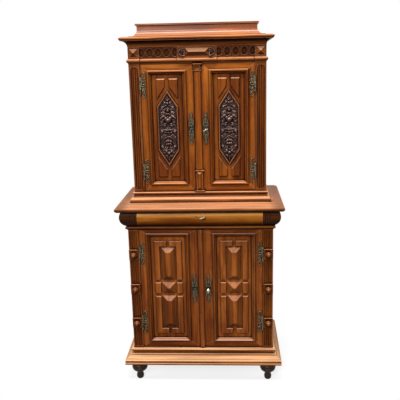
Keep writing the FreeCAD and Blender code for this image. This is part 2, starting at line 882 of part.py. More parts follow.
def frieze_fretwork():
    """Fret plates pierced with a row of pointed ovals and small triangles between them."""
    ground = upper_front + frieze_recess
    middle_z = frieze_z + frieze_height / 2
    start = frieze_plate_half_width + seat_clearance
    end = upper_half - frieze_corner_width - seat_clearance
    pitch = (end - start) * oval_pitch_share
    half_width = pitch * oval_half_width_share
    triangle = pitch * fret_triangle_half_width_share
    plates = []
    for side in SIDES:
        plate_ys = (ground - frieze_fret_thickness, ground)
        plate = block((side * start, side * end), plate_ys, (frieze_z, cornice_z))
        middle_x = side * (start + end) / 2
        cuts = []
        for offset in spread(oval_count, pitch):
            x = middle_x + offset
            cuts.append(oval(x, middle_z, half_width, oval_half_height, oval_facets))
        for offset in spread(oval_count - 1, pitch):
            x = middle_x + offset
            for level in SIDES:
                edge = middle_z + level * (frieze_height / 2 - fret_triangle_margin)
                cuts.append([
                    (x - triangle, edge), (x + triangle, edge), (x, edge - level * fret_triangle_height),
                ])
        through = Vector(0, 2 * cut_overrun, 0)
        tools = [prism(path, elevation(ground - cut_overrun), through) for path in cuts]
        plates.append(plate.cut(tools).Solids[0])
    return plates


def cornice_moulding():
    """Mitred cornice over the frieze, hollowed underneath."""
    return moulding_run(upper_half, upper_front, cornice_z, cornice_reach, cornice_height, cornice_shares)


def crown_hood():
    """Hollow-curved hood on the cornice, finished by a small square fillet."""
    half = upper_half - hood_inset
    front = upper_front + hood_inset
    return moulding_run(half, front, hood_z, hood_reach, hood_height, hood_shares, hood_wall)


def crown_top_board():
    """Board that closes the hood."""
    half = upper_half - hood_inset - hood_wall
    front = upper_front + hood_inset + hood_wall
    return [block((-half, half), (front, back_y), (top_z - board_thickness, top_z))]


class Leaf:
    """One door leaf: its edges, planes, moulding and hinge line."""

    def __init__(self, side, front, opening_half, bottom, top, moulding, batten_width, hinge_end_margin):
        near, far, low_margin, high_margin = moulding
        edge = -batten_width / 2 - batten_edge
        hinge_spread = (top - bottom) / 2 - hinge_end_margin
        self.side = side
        self.front = front
        self.opening_half = opening_half
        self.face = front + door_recess
        self.back = self.face + door_thickness
        self.bottom = bottom + door_clearance
        self.top = top - door_clearance
        self.hinge_x = side * (opening_half - hinge_side_clearance)
        self.meet_x = edge if side > 0 else edge - meeting_clearance
        self.moulding = rectangle(min(side * near, side * far), max(side * near, side * far),
                                  bottom + low_margin, top - high_margin)
        self.opening = inset(self.moulding, bolection_overlap)
        self.middle_x = side * (near + far) / 2
        self.middle_z = (bottom + low_margin + top - high_margin) / 2
        self.half_width = (far - near) / 2 - bolection_width
        self.half_height = (top - high_margin - bottom - low_margin) / 2 - bolection_width
        self.panel_front = self.face + panel_recess
        self.axis_x = side * (opening_half - fixed_leaf_thickness)
        self.axis_y = front - barrel_radius - seat_clearance
        self.hinge_zs = (self.middle_z - hinge_spread, self.middle_z + hinge_spread)
        self.key_x = side * escutcheon_x
        self.key_z = self.middle_z - key_drop

    def around(self, points):
        """Points measured from the middle of the panel, moved to their place."""
        return [(self.middle_x + x, self.middle_z + z) for x, z in points]


def upper_leaf(side):
    """Leaf of the upper case."""
    margins = (upper_moulding_low_margin, upper_moulding_high_margin)
    moulding = (upper_moulding_near, upper_opening_half - upper_moulding_far_margin) + margins
    return Leaf(side, upper_front, upper_opening_half, upper_z, band_z, moulding,
                upper_batten_width, upper_hinge_end_margin)


def lower_leaf(side):
    """Leaf of the lower case."""
    margins = (lower_moulding_low_margin, lower_moulding_high_margin)
    moulding = (lower_moulding_near, lower_opening_half - lower_moulding_far_margin) + margins
    return Leaf(side, lower_front, lower_opening_half, lower_z, waist_z, moulding,
                lower_batten_width, lower_hinge_end_margin)


def sides_of(outer, inner):
    """Four-cornered strips between two rectangles, one along each edge, mitred at the corners."""
    return [[outer[i], outer[(i + 1) % 4], inner[(i + 1) % 4], inner[i]] for i in range(4)]


def leaf_frame(leaf):
    """Mitred stiles and rails of a leaf with the bolection moulding planted round its panel."""
    outer = rectangle(min(leaf.hinge_x, leaf.meet_x), max(leaf.hinge_x, leaf.meet_x), leaf.bottom, leaf.top)
    pieces = []
    for strip in sides_of(outer, leaf.opening):
        member = prism(strip, elevation(leaf.face), Vector(0, door_thickness, 0))
        if leaf.side > 0:
            member = member.cut(key_passage(leaf)).Solids[0]
        pieces.append(member)
    profile = scaled(bolection_shares, bolection_width, bolection_rise)
    profile += [
        (bolection_width, -panel_recess / 2), (bolection_width, -panel_recess),
        (bolection_overlap, -panel_recess), (bolection_overlap, 0),
    ]
    inner = inset(leaf.moulding, bolection_width)
    for strip in sides_of(leaf.moulding, inner):
        start = Vector(strip[0][0], leaf.face, strip[0][1])
        along = Vector(strip[1][0], leaf.face, strip[1][1]) - start
        inward = Vector(-along.z, 0, along.x).normalize()
        bar = prism(profile, lambda u, w: start + inward * u - Vector(0, w, 0), along)
        mitre = prism(strip, elevation(leaf.face - cut_overrun), Vector(0, 2 * cut_overrun, 0))
        pieces.append(bar.common(mitre).Solids[0])
    return pieces


def key_passage(leaf):
    """Hole for the key through the stile of a leaf."""
    start = Vector(leaf.key_x, leaf.face - cut_overrun, leaf.key_z)
    length = door_thickness + 2 * cut_overrun
    return Part.makeCylinder(key_shaft_radius + pin_clearance, length, start, Vector(0, 1, 0))


def panel_board(leaf):
    """Plain board that fills the opening of a leaf behind the moulding."""
    xs = [point[0] for point in leaf.opening]
    zs = [point[1] for point in leaf.opening]
    ys = (leaf.panel_front, leaf.panel_front + panel_thickness)
    return block((min(xs), max(xs)), ys, (min(zs), max(zs)))


def upper_panel(leaf):
    """Upper panel with a raised field in each corner, cut away along the lozenge."""
    fields = []
    half_width, half_height = lozenge_halves(leaf)
    top = leaf.half_height - field_end_margin
    outer = leaf.half_width - field_side_margin
    fall = lozenge_point_height / half_width
    inner_end = half_height + field_gap - fall * field_inner
    outer_end = half_height + field_gap - fall * outer
    for sx in SIDES:
        for sz in SIDES:
            corners = leaf.around([
                (sx * field_inner, sz * top), (sx * outer, sz * top),
                (sx * outer, sz * outer_end), (sx * field_inner, sz * inner_end),
            ])
            fields.append(chamfered(corners, leaf.panel_front, field_rise, field_chamfer))
    return [panel_board(leaf).fuse(fields).Solids[0]]


def lozenge_halves(leaf):
    """Half width and half height of the lozenge on an upper panel."""
    return leaf.half_width - lozenge_side_margin, leaf.half_height - lozenge_end_margin


def lozenge_outline(leaf):
    """Corners of the tall hexagonal lozenge on an upper panel."""
    half_width, half_height = lozenge_halves(leaf)
    shoulder = half_height - lozenge_point_height
    return anticlockwise(leaf.around([
        (0, half_height), (-half_width, shoulder), (-half_width, -shoulder),
        (0, -half_height), (half_width, -shoulder), (half_width, shoulder),
    ]))


def carved_lozenge(leaf):
    """Lozenge plaque: a raised border round the sunk ground of the carving."""
    corners = lozenge_outline(leaf)
    plaque = chamfered(corners, leaf.panel_front, lozenge_rise, lozenge_chamfer)
    ground = elevation(leaf.panel_front - lozenge_ground_rise)
    hollow = prism(inset(corners, lozenge_border), ground, Vector(0, -cut_overrun, 0))
    return [plaque.cut(hollow).Solids[0]]


def lower_panel(leaf):
    """Lower panel with mitred strips at its edges round three hipped points."""
    front = leaf.panel_front
    outer_w = leaf.half_width - strip_side_margin
    outer_h = leaf.half_height - strip_end_margin
    inner_w = outer_w - strip_width
    inner_h = outer_h - strip_width
    start_h = middle_half_height + strip_groove
    point_w = inner_w - point_groove
    pieces = [panel_board(leaf)]
    for sx in SIDES:
        for sz in SIDES:
            strip = leaf.around([
                (sx * strip_groove / 2, sz * outer_h), (sx * outer_w, sz * outer_h),
                (sx * outer_w, sz * start_h), (sx * inner_w, sz * start_h),
                (sx * inner_w, sz * inner_h), (sx * strip_groove / 2, sz * inner_h),
            ])
            pieces.append(chamfered(strip, front, strip_rise, strip_chamfer))
        side_block = leaf.around(rectangle(
            sx * inner_w, sx * outer_w, -middle_half_height, middle_half_height,
        ))
        pieces.append(chamfered(side_block, front, strip_rise, strip_chamfer))
    for sz in SIDES:
        point = leaf.around(rectangle(-point_w, point_w, sz * start_h, sz * (inner_h - point_groove)))
        pieces.append(hip(point, front, point_rise, point_ridge_half_width))
    middle = leaf.around(rectangle(-point_w, point_w, -middle_half_height, middle_half_height))
    pieces.append(hip(middle, front, point_rise, middle_point_flat))
    return pieces


def upper_batten_caps(leaf, low, high):
    """Caps of the upper batten between two X values: foot, pedestal top and head."""
    pedestal_top = leaf.bottom + batten_cap_height + batten_pedestal_height
    levels = (leaf.bottom, pedestal_top, leaf.top - batten_cap_height)
    ys = (leaf.face - batten_cap_rise, leaf.face)
    return [block((low, high), ys, (z, z + batten_cap_height)) for z in levels]


def left_cap_returns(leaf):
    """Short returns that carry the caps of the batten across the meeting line on to the left leaf."""
    return upper_batten_caps(leaf, -batten_cap_width / 2, leaf.meet_x)


def upper_batten(leaf):
    """Batten over the meeting line: foot, pedestal, cap, strip, necking, block and head."""
    half_cap = batten_cap_width / 2
    half_block = batten_block_width / 2
    half_strip = upper_batten_width / 2
    half_pedestal = batten_pedestal_width / 2
    pedestal_low = leaf.bottom + batten_cap_height
    pedestal_high = pedestal_low + batten_pedestal_height
    strip_low = pedestal_high + batten_cap_height
    block_high = leaf.top - batten_cap_height
    block_low = block_high - batten_block_height
    neck_low = block_low - batten_neck_height
    pieces = upper_batten_caps(leaf, leaf.meet_x, half_cap)
    pedestal = rectangle(-half_pedestal, half_pedestal, pedestal_low, pedestal_high)
    pieces.append(chamfered(pedestal, leaf.face, batten_rise, batten_edge))
    point = rectangle(
        batten_point_margin - half_pedestal, half_pedestal - batten_point_margin,
        pedestal_low + batten_point_margin, pedestal_high - batten_point_margin,
    )
    pieces.append(hip(point, leaf.face - batten_rise, batten_point_rise, batten_point_margin))
    strip = rectangle(-half_strip, half_strip, strip_low, neck_low)
    pieces.append(chamfered(strip, leaf.face, batten_rise, batten_chamfer))
    neck_ys = (leaf.face - batten_neck_rise, leaf.face)
    pieces.append(block((-half_block, half_block), neck_ys, (neck_low, block_low)))
    head = rectangle(-half_strip, half_strip, block_low, block_high)
    sunk = rectangle(
        batten_sunk_margin - half_strip, half_strip - batten_sunk_margin,
        block_low + batten_sunk_margin, block_high - batten_sunk_margin,
    )
    hollow = prism(sunk, elevation(leaf.face - batten_rise + batten_sunk_depth), Vector(0, -cut_overrun, 0))
    pieces.append(chamfered(head, leaf.face, batten_rise, batten_chamfer / 2).cut(hollow).Solids[0])
    return pieces


def lower_batten(leaf):
    """Plain chamfered batten over the meeting line of the lower doors."""
    half = lower_batten_width / 2
    strip = rectangle(-half, half, leaf.bottom, leaf.top)
    return [chamfered(strip, leaf.face, batten_rise, batten_chamfer)]


def knuckle_section(leaf, radius):
    """Faceted round section of a hinge knuckle about the hinge line of a leaf."""
    return oval(leaf.axis_x, leaf.axis_y, radius, radius, barrel_facets)


def hinge_post_leaves():
    """Fixed hinge leaves let in beside the doors, each with its knuckle and pin."""
    pieces = []
    for leaf in LEAVES:
        for z in leaf.hinge_zs:
            low = z - barrel_length / 2
            knuckle = prism(knuckle_section(leaf, barrel_radius), plan(low), Vector(0, 0, barrel_length / 2))
            pin = Part.makeCylinder(pin_radius, barrel_length, Vector(leaf.axis_x, leaf.axis_y, low))
            xs = (leaf.axis_x, leaf.side * leaf.opening_half)
            plate = block(xs, (leaf.axis_y, leaf.axis_y + fixed_leaf_depth), (low, z))
            pieces.append(knuckle.fuse([pin, plate]).removeSplitter().Solids[0])
    return pieces


def symmetric(path, flip):
    """Path followed by its mirror image back to the start; flip mirrors one point."""
    back = []
    for i in range(len(path) - 1, 0, -1):
        end = flip(*path[i - 1][:2])
        middle = flip(*path[i][2:]) if len(path[i]) == 4 else ()
        back.append(end + middle)
    return list(path) + back


def leaf_hinges(leaf):
    """Pierced hinge plates on the face of a leaf, each bent forward to its knuckle."""
    half_height = hinge_plate_height / 2
    half_path = scaled(hinge_plate_shares, hinge_plate_width, half_height)
    path = symmetric(half_path, lambda u, v: (u, -v))
    plate_y = leaf.face - hinge_plate_thickness
    inward = -leaf.side
    pieces = []
    for z in leaf.hinge_zs:
        place = lambda u, v: Vector(leaf.hinge_x + inward * u, plate_y, z + v)
        plate = prism(path, place, Vector(0, hinge_plate_thickness, 0))
        low = z + seat_clearance
        high = z + barrel_length / 2
        knuckle = prism(knuckle_section(leaf, barrel_radius), plan(low), Vector(0, 0, high - low))
        web_xs = (leaf.hinge_x, leaf.hinge_x + inward * hinge_web_width)
        web = block(web_xs, (leaf.axis_y + barrel_radius / 2, leaf.face), (low, high))
        bore = knuckle_section(leaf, (pin_radius + pin_clearance) / math.cos(math.pi / barrel_facets))
        tools = [prism(bore, plan(z), Vector(0, 0, barrel_length))]
        for shares in hinge_piercing_shares:
            for level in SIDES:
                corners = scaled(shares, hinge_plate_width, level * half_height)
                tools.append(prism(corners, place, Vector(0, hinge_plate_thickness, 0)))
        pieces.append(plate.fuse([knuckle, web]).cut(tools).removeSplitter().Solids[0])
    return pieces


def escutcheon(leaf):
    """Lobed escutcheon plate with its keyhole."""
    quarter = scaled(escutcheon_shares, escutcheon_width / 2, escutcheon_height / 2)
    half_path = symmetric(quarter, lambda u, v: (u, -v))
    path = symmetric(half_path, lambda u, v: (-u, v))
    front = leaf.face - escutcheon_thickness
    place = lambda u, v: Vector(leaf.key_x + u, front, leaf.middle_z + v)
    plate = prism(path, place, Vector(0, escutcheon_thickness, 0))
    ring = oval(leaf.key_x, leaf.key_z, keyhole_radius, keyhole_radius, oval_facets)
    hole = prism(ring, elevation(front - cut_overrun), Vector(0, 2 * cut_overrun, 0))
    slot = block(
        (leaf.key_x - keyhole_slot_width / 2, leaf.key_x + keyhole_slot_width / 2),
        (front - cut_overrun, leaf.face + cut_overrun),
        (leaf.key_z - keyhole_slot_length, leaf.key_z),
    )
    return [plate.cut([hole, slot]).Solids[0]]


def lock_space(leaf):
    """Outer spans of the rim lock on the inside of a leaf."""
    low = leaf.meet_x + lock_setback
    half = lock_height / 2
    ys = (leaf.back, leaf.back + lock_depth)
    return (low, low + lock_width), ys, (leaf.key_z - half, leaf.key_z + half)


def bolt_space(leaf):
    """Resting spans of the bolt in a rim lock, its tip flush with the lock's edge."""
    xs, ys, zs = lock_space(leaf)
    front = leaf.back + lock_wall
    low = leaf.key_z + bolt_lift
    return (xs[0], xs[0] + bolt_length), (front, front + bolt_thickness), (low, low + bolt_height)


def grown(spans, clearance):
    """Three spans widened by a clearance at both ends."""
    return [(span[0] - clearance, span[1] + clearance) for span in spans]


def lock_tray(outer, bolt):
    """Lock case, open towards the wood it is screwed to, with a slot that guides its bolt."""
    xs, ys, zs = outer
    hollow = block(
        (xs[0] + lock_wall, xs[1] - lock_wall), (ys[0] - cut_overrun, ys[1] - lock_wall),
        (zs[0] + lock_wall, zs[1] - lock_wall),
    )
    return [block(*outer).cut([hollow, block(*grown(bolt, seat_clearance))]).Solids[0]]


def key_solid(key_x, key_z, bow_y, tip_y, angle):
    """Key along Y: an oval ring bow, a round shaft and a bit, turned about the shaft by an angle."""
    half_width = key_bow_width / 2
    half_length = key_bow_length / 2
    low = key_z - key_bow_thickness / 2
    centre_y = bow_y + half_length
    rim = oval(key_x, centre_y, half_width, half_length, key_bow_facets)
    hole = oval(key_x, centre_y, half_width - key_bow_ring, half_length - key_bow_ring, key_bow_facets)
    run = Vector(0, 0, key_bow_thickness)
    bow = prism(rim, plan(low), run).cut(prism(hole, plan(low), run))
    start_y = bow_y + key_bow_length - key_bow_ring / 2
    start = Vector(key_x, start_y, key_z)
    shaft = Part.makeCylinder(key_shaft_radius, tip_y - start_y, start, Vector(0, 1, 0))
    bit = block(
        (key_x, key_x + key_bit_reach), (tip_y - key_bit_length, tip_y),
        (key_z - key_bit_thickness / 2, key_z + key_bit_thickness / 2),
    )
    key = bow.fuse([shaft, bit]).removeSplitter().Solids[0]
    key.rotate(Vector(key_x, bow_y, key_z), Vector(0, 1, 0), angle)
    return [key]


def leaf_key(leaf, angle):
    """Key in the lock of a leaf."""
    bow_y = leaf.face - escutcheon_thickness - key_stem_length - key_bow_length
    tip_y = leaf.back + lock_wall + key_bit_length
    return key_solid(leaf.key_x, leaf.key_z, bow_y, tip_y, angle)


def drawer_front():
    """Rounded drawer front that continues the corner blocks, bored for its key."""
    height = drawer_stage_height - 2 * drawer_clearance
    bottom = drawer_z + drawer_clearance
    place = lambda u, v: Vector(-drawer_half, lower_front - u, bottom + v)
    front = prism(torus_path(torus_reach, drawer_front_wall, height), place, Vector(2 * drawer_half, 0, 0))
    start = Vector(drawer_key_x, lower_front - torus_reach - cut_overrun, drawer_key_z)
    length = torus_reach + drawer_front_wall + 2 * cut_overrun
    passage = Part.makeCylinder(key_shaft_radius + pin_clearance, length, start, Vector(0, 1, 0))
    return [front.cut(passage).Solids[0]]


def drawer_box():
    """Drawer sides, back and bottom."""
    low = drawer_z + runner_thickness + seat_clearance
    zs = (low, low + drawer_side_height)
    front = lower_front + drawer_front_wall
    rear = back_board_y - drawer_back_gap
    inner = drawer_half - drawer_side_thickness
    pieces = []
    for side in SIDES:
        pieces.append(block((side * inner, side * drawer_half), (front, rear), zs))
    pieces.append(block((-inner, inner), (rear - drawer_side_thickness, rear), zs))
    floor = low + drawer_bottom_rise
    floor_ys = (front, rear - drawer_side_thickness)
    pieces.append(block((-inner, inner), floor_ys, (floor, floor + drawer_bottom_thickness)))
    return pieces


def drawer_lock():
    """Lock behind the drawer front, whose bolt rises into the table."""
    back = lower_front + drawer_front_wall
    half_w = drawer_lock_width / 2
    outer = (
        (drawer_key_x - half_w, drawer_key_x + half_w), (back, back + lock_depth),
        (drawer_z + drawer_lock_rise, table_z - drawer_lock_top_gap),
    )
    return lock_tray(outer, drawer_bolt_space())


def drawer_key():
    """Key in the drawer front."""
    bow_y = lower_front - torus_reach - drawer_stem_length - key_bow_length
    tip_y = lower_front + drawer_front_wall + lock_wall + key_bit_length
    return key_solid(drawer_key_x, drawer_key_z, bow_y, tip_y, drawer_key_angle)


LEFT_UPPER = upper_leaf(-1)
RIGHT_UPPER = upper_leaf(1)
LEFT_LOWER = lower_leaf(-1)
RIGHT_LOWER = lower_leaf(1)
LEAVES = (LEFT_UPPER, RIGHT_UPPER, LEFT_LOWER, RIGHT_LOWER)

nodes = {
    "feet": feet(),
    "plinth_moulding": plinth_moulding(),
    "lower_case_boards": lower_case_boards(),
    "lower_posts": lower_posts(),
    "rosettes": rosettes(),
    "lower_sides": lower_sides(),
    "lower_back_panel": lower_back_panel(),
    "shelves": shelves(),
    "shelf_cleats": shelf_cleats(),
    "waist_moulding": waist_moulding(),
    "waist_side_boards": waist_side_boards(),
    "waist_torus": waist_torus(),
    "drawer_runners": drawer_runners(),
    "table_top": table_top(),
    "upper_base_moulding": upper_base_moulding(),
    "upper_case_boards": upper_case_boards(),
    "upper_posts": upper_posts(),
    "upper_sides": upper_sides(),
    "upper_back_panel": upper_back_panel(),
    "necking_band": necking_band(),
    "frieze_boards": frieze_boards(),
    "frieze_blocks": frieze_blocks(),
    "frieze_fretwork": frieze_fretwork(),
    "cornice_moulding": cornice_moulding(),
    "crown_hood": crown_hood(),
    "crown_top_board": crown_top_board(),
    "hinge_post_leaves": hinge_post_leaves(),
    "left_upper_frame": leaf_frame(LEFT_UPPER) + left_cap_returns(LEFT_UPPER),
    "left_upper_panel": upper_panel(LEFT_UPPER),
    "left_upper_carving": carved_lozenge(LEFT_UPPER),
    "right_upper_frame": leaf_frame(RIGHT_UPPER),
    "right_upper_panel": upper_panel(RIGHT_UPPER),
    "right_upper_carving": carved_lozenge(RIGHT_UPPER),
    "right_upper_batten": upper_batten(RIGHT_UPPER),
    "left_lower_frame": leaf_frame(LEFT_LOWER),
    "left_lower_panel": lower_panel(LEFT_LOWER),
    "right_lower_frame": leaf_frame(RIGHT_LOWER),
    "right_lower_panel": lower_panel(RIGHT_LOWER),
    "right_lower_batten": lower_batten(RIGHT_LOWER),
    "drawer_front": drawer_front(),
    "drawer_box": drawer_box(),
    "drawer_lock": drawer_lock(),
    "drawer_key": drawer_key(),
    "drawer_lock_bolt": [block(*drawer_bolt_space())],
}
for name, leaf in (("left_upper", LEFT_UPPER), ("right_upper", RIGHT_UPPER),
                   ("left_lower", LEFT_LOWER), ("right_lower", RIGHT_LOWER)):
    nodes[name + "_hinges"] = leaf_hinges(leaf)
    nodes[name + "_escutcheon"] = escutcheon(leaf)
for name, leaf, angle in (("upper", RIGHT_UPPER, upper_key_angle), ("lower", RIGHT_LOWER, lower_key_angle)):
    nodes["right_" + name + "_lock"] = lock_tray(lock_space(leaf), bolt_space(leaf))
    nodes[name + "_lock_bolt"] = [block(*bolt_space(leaf))]
    nodes[name + "_key"] = leaf_key(leaf, angle)

os.makedirs("parts", exist_ok=True)
for name, solids in nodes.items():
    shape = solids[0] if len(solids) == 1 else Part.makeCompound(solids)
    shape.exportStep("parts/" + name + ".step")
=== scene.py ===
"""Looks of a two-body walnut buffet in the Renaissance revival manner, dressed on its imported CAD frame."""

import json
import logging
import math
from dataclasses import dataclass
from enum import Enum
from functools import partialmethod
from typing import Callable, Iterable, Protocol, Sequence, Union

import bmesh
import bpy
from mathutils import Matrix, Vector


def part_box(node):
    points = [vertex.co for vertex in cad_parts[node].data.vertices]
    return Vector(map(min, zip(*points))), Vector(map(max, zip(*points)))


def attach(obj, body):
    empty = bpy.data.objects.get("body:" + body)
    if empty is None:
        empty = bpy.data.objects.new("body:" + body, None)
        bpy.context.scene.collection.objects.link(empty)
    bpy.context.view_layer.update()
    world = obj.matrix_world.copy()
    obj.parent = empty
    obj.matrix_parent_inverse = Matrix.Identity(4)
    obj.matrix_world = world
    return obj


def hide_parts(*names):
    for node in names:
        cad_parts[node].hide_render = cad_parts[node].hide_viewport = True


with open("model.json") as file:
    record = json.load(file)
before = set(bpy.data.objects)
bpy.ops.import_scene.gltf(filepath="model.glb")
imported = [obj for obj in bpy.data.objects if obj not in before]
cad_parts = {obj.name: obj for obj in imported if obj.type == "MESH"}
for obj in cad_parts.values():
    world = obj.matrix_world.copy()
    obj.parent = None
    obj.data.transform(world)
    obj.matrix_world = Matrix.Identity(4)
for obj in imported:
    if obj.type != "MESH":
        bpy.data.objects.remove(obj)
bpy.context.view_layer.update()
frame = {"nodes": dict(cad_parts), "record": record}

log = logging.getLogger("buffet")

Colour = tuple[float, float, float, float]
Point = tuple[float, float]
Place = tuple[float, float, float]
Strand = Sequence[Place]
Number = Union[float, "Field"]
Fields = tuple["Field", "Field", "Field"]
Finish = Union["Wood", "Metal"]
Socket = bpy.types.NodeSocket
Mesh = bmesh.types.BMesh

MM = 0.001


def srgb(red: int, green: int, blue: int) -> Colour:
    """Linear colour of three 8-bit display values.

    Args:
        red: Red, 0 to 255.
        green: Green, 0 to 255.
        blue: Blue, 0 to 255.

    Returns:
        The colour with full alpha.
    """
    parts = [value / 255 for value in (red, green, blue)]
    linear = [v / 12.92 if v <= 0.04045 else ((v + 0.055) / 1.055) ** 2.4 for v in parts]
    return (linear[0], linear[1], linear[2], 1.0)


class Field:
    """A value in a shader; operators, most (the larger of two) and wave (a triangle wave) add Math nodes."""

    def __init__(self, graph: "Graph", socket: Socket) -> None:
        """Wraps a socket of a graph."""
        self.graph = graph
        self.socket = socket

    def math(self, operation: str, *others: Number, flip: bool = False) -> "Field":
        """One Math node on this value.

        Args:
            operation: Blender's name of the operation.
            others: Further operands, values or numbers.
            flip: Puts this value second.

        Returns:
            The node's result.
        """
        operands = [self, *others]
        if flip:
            operands.reverse()
        return self.graph.value("Math", dict(enumerate(operands)), operation=operation)

    __add__ = __radd__ = partialmethod(math, "ADD")
    __sub__ = partialmethod(math, "SUBTRACT")
    __rsub__ = partialmethod(math, "SUBTRACT", flip=True)
    __mul__ = __rmul__ = partialmethod(math, "MULTIPLY")
    __pow__ = partialmethod(math, "POWER")
    __gt__ = partialmethod(math, "GREATER_THAN")
    __abs__ = partialmethod(math, "ABSOLUTE")
    most = partialmethod(math, "MAXIMUM")
    wave = partialmethod(math, "PINGPONG", 1.0)

    def eased(self, low: float, high: float) -> "Field":
        """Smooth step from zero at the low value to one at the high one."""
        sockets = {"Value": self, "From Min": low, "From Max": high}
        return self.graph.value("MapRange", sockets, interpolation_type="SMOOTHSTEP", clamp=True)


class Graph:
    """The nodes of one material or of the surroundings."""

    def __init__(self, owner: bpy.types.Material | bpy.types.World) -> None:
        """Starts with no nodes on their owner."""
        owner.use_nodes = True
        self.owner = owner
        self.tree = owner.node_tree
        self.tree.nodes.clear()

    def node(self, kind: str, sockets: dict | None = None, **settings: object) -> bpy.types.Node:
        """One node with its settings, then its sockets.

        Args:
            kind: Blender's type of shader node, without the start that all share.
            sockets: Values, links or fields by socket name or number.
            settings: Attributes of the node.

        Returns:
            The node.
        """
        made = self.tree.nodes.new("ShaderNode" + kind)
        for key, value in settings.items():
            setattr(made, key, value)
        for key, value in (sockets or {}).items():
            source = value.socket if isinstance(value, Field) else value
            if isinstance(source, Socket):
                self.tree.links.new(source, made.inputs[key])
            else:
                made.inputs[key].default_value = source
        return made

    def value(self, kind: str, sockets: dict, output: int | str = 0, **settings: object) -> Field:
        """One output of a new node as a field."""
        return Field(self, self.node(kind, sockets, **settings).outputs[output])

    def coordinates(self, kind: str) -> Fields:
        """Place ("Object", in metres) or direction ("Normal") of the surface, in the piece's own axes."""
        vector = self.node("TexCoord").outputs[kind]
        x, y, z = (Field(self, part) for part in self.node("SeparateXYZ", {0: vector}).outputs)
        return x, y, z

    def vector(self, x: Number, y: Number, z: Number) -> Socket:
        """A vector of three values."""
        return self.node("CombineXYZ", {0: x, 1: y, 2: z}).outputs[0]

    def noise(self, at: Socket, detail: float, rough: float, twist: float = 0.0) -> Field:
        """Noise, about zero to one, at a scaled place, with its octaves, their strength and its twist."""
        sockets = {"Vector": at, "Scale": 1.0, "Detail": detail, "Roughness": rough, "Distortion": twist}
        return self.value("TexNoise", sockets)

    def blend(self, share: Number, first: Colour | Socket, second: Colour | Socket) -> Socket:
        """Colour between two colours, with the share of the second."""
        sockets = {0: share, 6: first, 7: second}
        return self.node("Mix", sockets, data_type="RGBA", clamp_factor=True).outputs[2]

    def layered(self, colour: Colour | Socket, layers: Iterable[tuple[Number, Colour]]) -> Socket:
        """A colour with others laid over it.

        Args:
            colour: The lowest colour.
            layers: Share and colour of each layer, from the lowest up.

        Returns:
            The resulting colour.
        """
        for share, shade in layers:
            colour = self.blend(share, colour, shade)
        return colour

    def hollows(self, reach: float) -> Field:
        """How deep a place lies in hollows of that reach, zero in the open and one in a corner."""
        return 1.0 - self.value("AmbientOcclusion", {"Distance": reach}, "AO", samples=8)

    def edges(self, width: float) -> Field:
        """How near an arris is, zero in the open and one on it.

        Args:
            width: How far from the arris the worn edge and its painted highlight reach, in metres.

        Returns:
            The nearness.
        """
        soft = self.node("Bevel", {"Radius": width}, samples=6).outputs[0]
        true = self.node("NewGeometry").outputs["Normal"]
        agree = self.value("VectorMath", {0: soft, 1: true}, "Value", operation="DOT_PRODUCT")
        return (1.0 - agree).eased(0.01, 0.16)

    def seen(self) -> Field:
        """One for rays that come from the eye, straight or by way of gloss or glass, else zero."""
        rays = self.node("LightPath").outputs
        kinds = ("Camera", "Glossy", "Transmission")
        straight, gloss, glass = (Field(self, rays[f"Is {kind} Ray"]) for kind in kinds)
        return straight.most(gloss).most(glass)

    def bump(self, height: Field, strength: float, distance: float) -> Socket:
        """Normal of a surface with bumps of a height from zero to one, so many metres high at one."""
        return self.node("Bump", {"Strength": strength, "Distance": distance, "Height": height}).outputs[0]

    def finish(self, sockets: dict) -> bpy.types.Material:
        """Closes the material with a surface shader that has these values and links on its sockets."""
        shader = self.node("BsdfPrincipled", sockets)
        self.node("OutputMaterial", {0: shader.outputs[0]})
        return self.owner


class Axis(Enum):
    """Axis along which the fibres of a board run."""

    ACROSS = 0
    DEPTH = 1
    UPRIGHT = 2


class Layout(Protocol):
    """How the fibres run through a piece."""

    def along(self, place: Fields) -> Fields:
        """Coordinates along the fibres, across them and through the board."""


@dataclass(frozen=True)
class Straight:
    """Fibres along one axis."""

    axis: Axis

    def along(self, place: Fields) -> Fields:
        """Coordinates along the fibres, across them and through the board."""
        x, y, z = place
        orders = {Axis.ACROSS: (x, z, y), Axis.DEPTH: (y, z, x), Axis.UPRIGHT: (z, x, y)}
        return orders[self.axis]


ACROSS, DEPTH, UPRIGHT = (Straight(axis) for axis in Axis)


@dataclass(frozen=True)
class MitredFrame:
    """Fibres along the stiles and rails of an upright frame, mitred at the corners of its panel."""

    middle: Point
    half: Point
    side_shift: float = 0.7
    stile_shift: float = 1.3

    def along(self, place: Fields) -> Fields:
        """Coordinates along the fibres, across them and through the board."""
        x, y, z = place
        beside = abs(x - self.middle[0]) - self.half[0]
        beyond = abs(z - self.middle[1]) - self.half[1]
        stile = beside > beyond
        side = (x > self.middle[0]) * stile + (z > self.middle[1]) * (1.0 - stile)
        along = x + (z - x) * stile + side * self.side_shift
        across = z + (x - z) * stile + stile * self.stile_shift
        return along, across, y


@dataclass(frozen=True)
class MitredRun:
    """Fibres along a moulding that turns the front corners of a case."""

    half: float
    front: float
    side_shift: float = 0.9

    def along(self, place: Fields) -> Fields:
        """Coordinates along the fibres, across them and through the board."""
        x, y, z = place
        side = (abs(x) - self.half) > (self.front - y)
        return x + (y - x) * side, z + side * self.side_shift, y + (x - y) * side


@dataclass(frozen=True)
class Grain:
    """Noise drawn out along the fibres: scales across and along them, octaves, their strength, twist."""

    across: float
    along: float
    detail: float
    rough: float
    twist: float = 0.0

    def field(self, g: Graph, fibres: Fields) -> Field:
        """The noise at coordinates along, across and through the fibres."""
        along, across, through = fibres
        at = g.vector(across * self.across, through * self.across, along * self.along)
        return g.noise(at, self.detail, self.rough, self.twist)


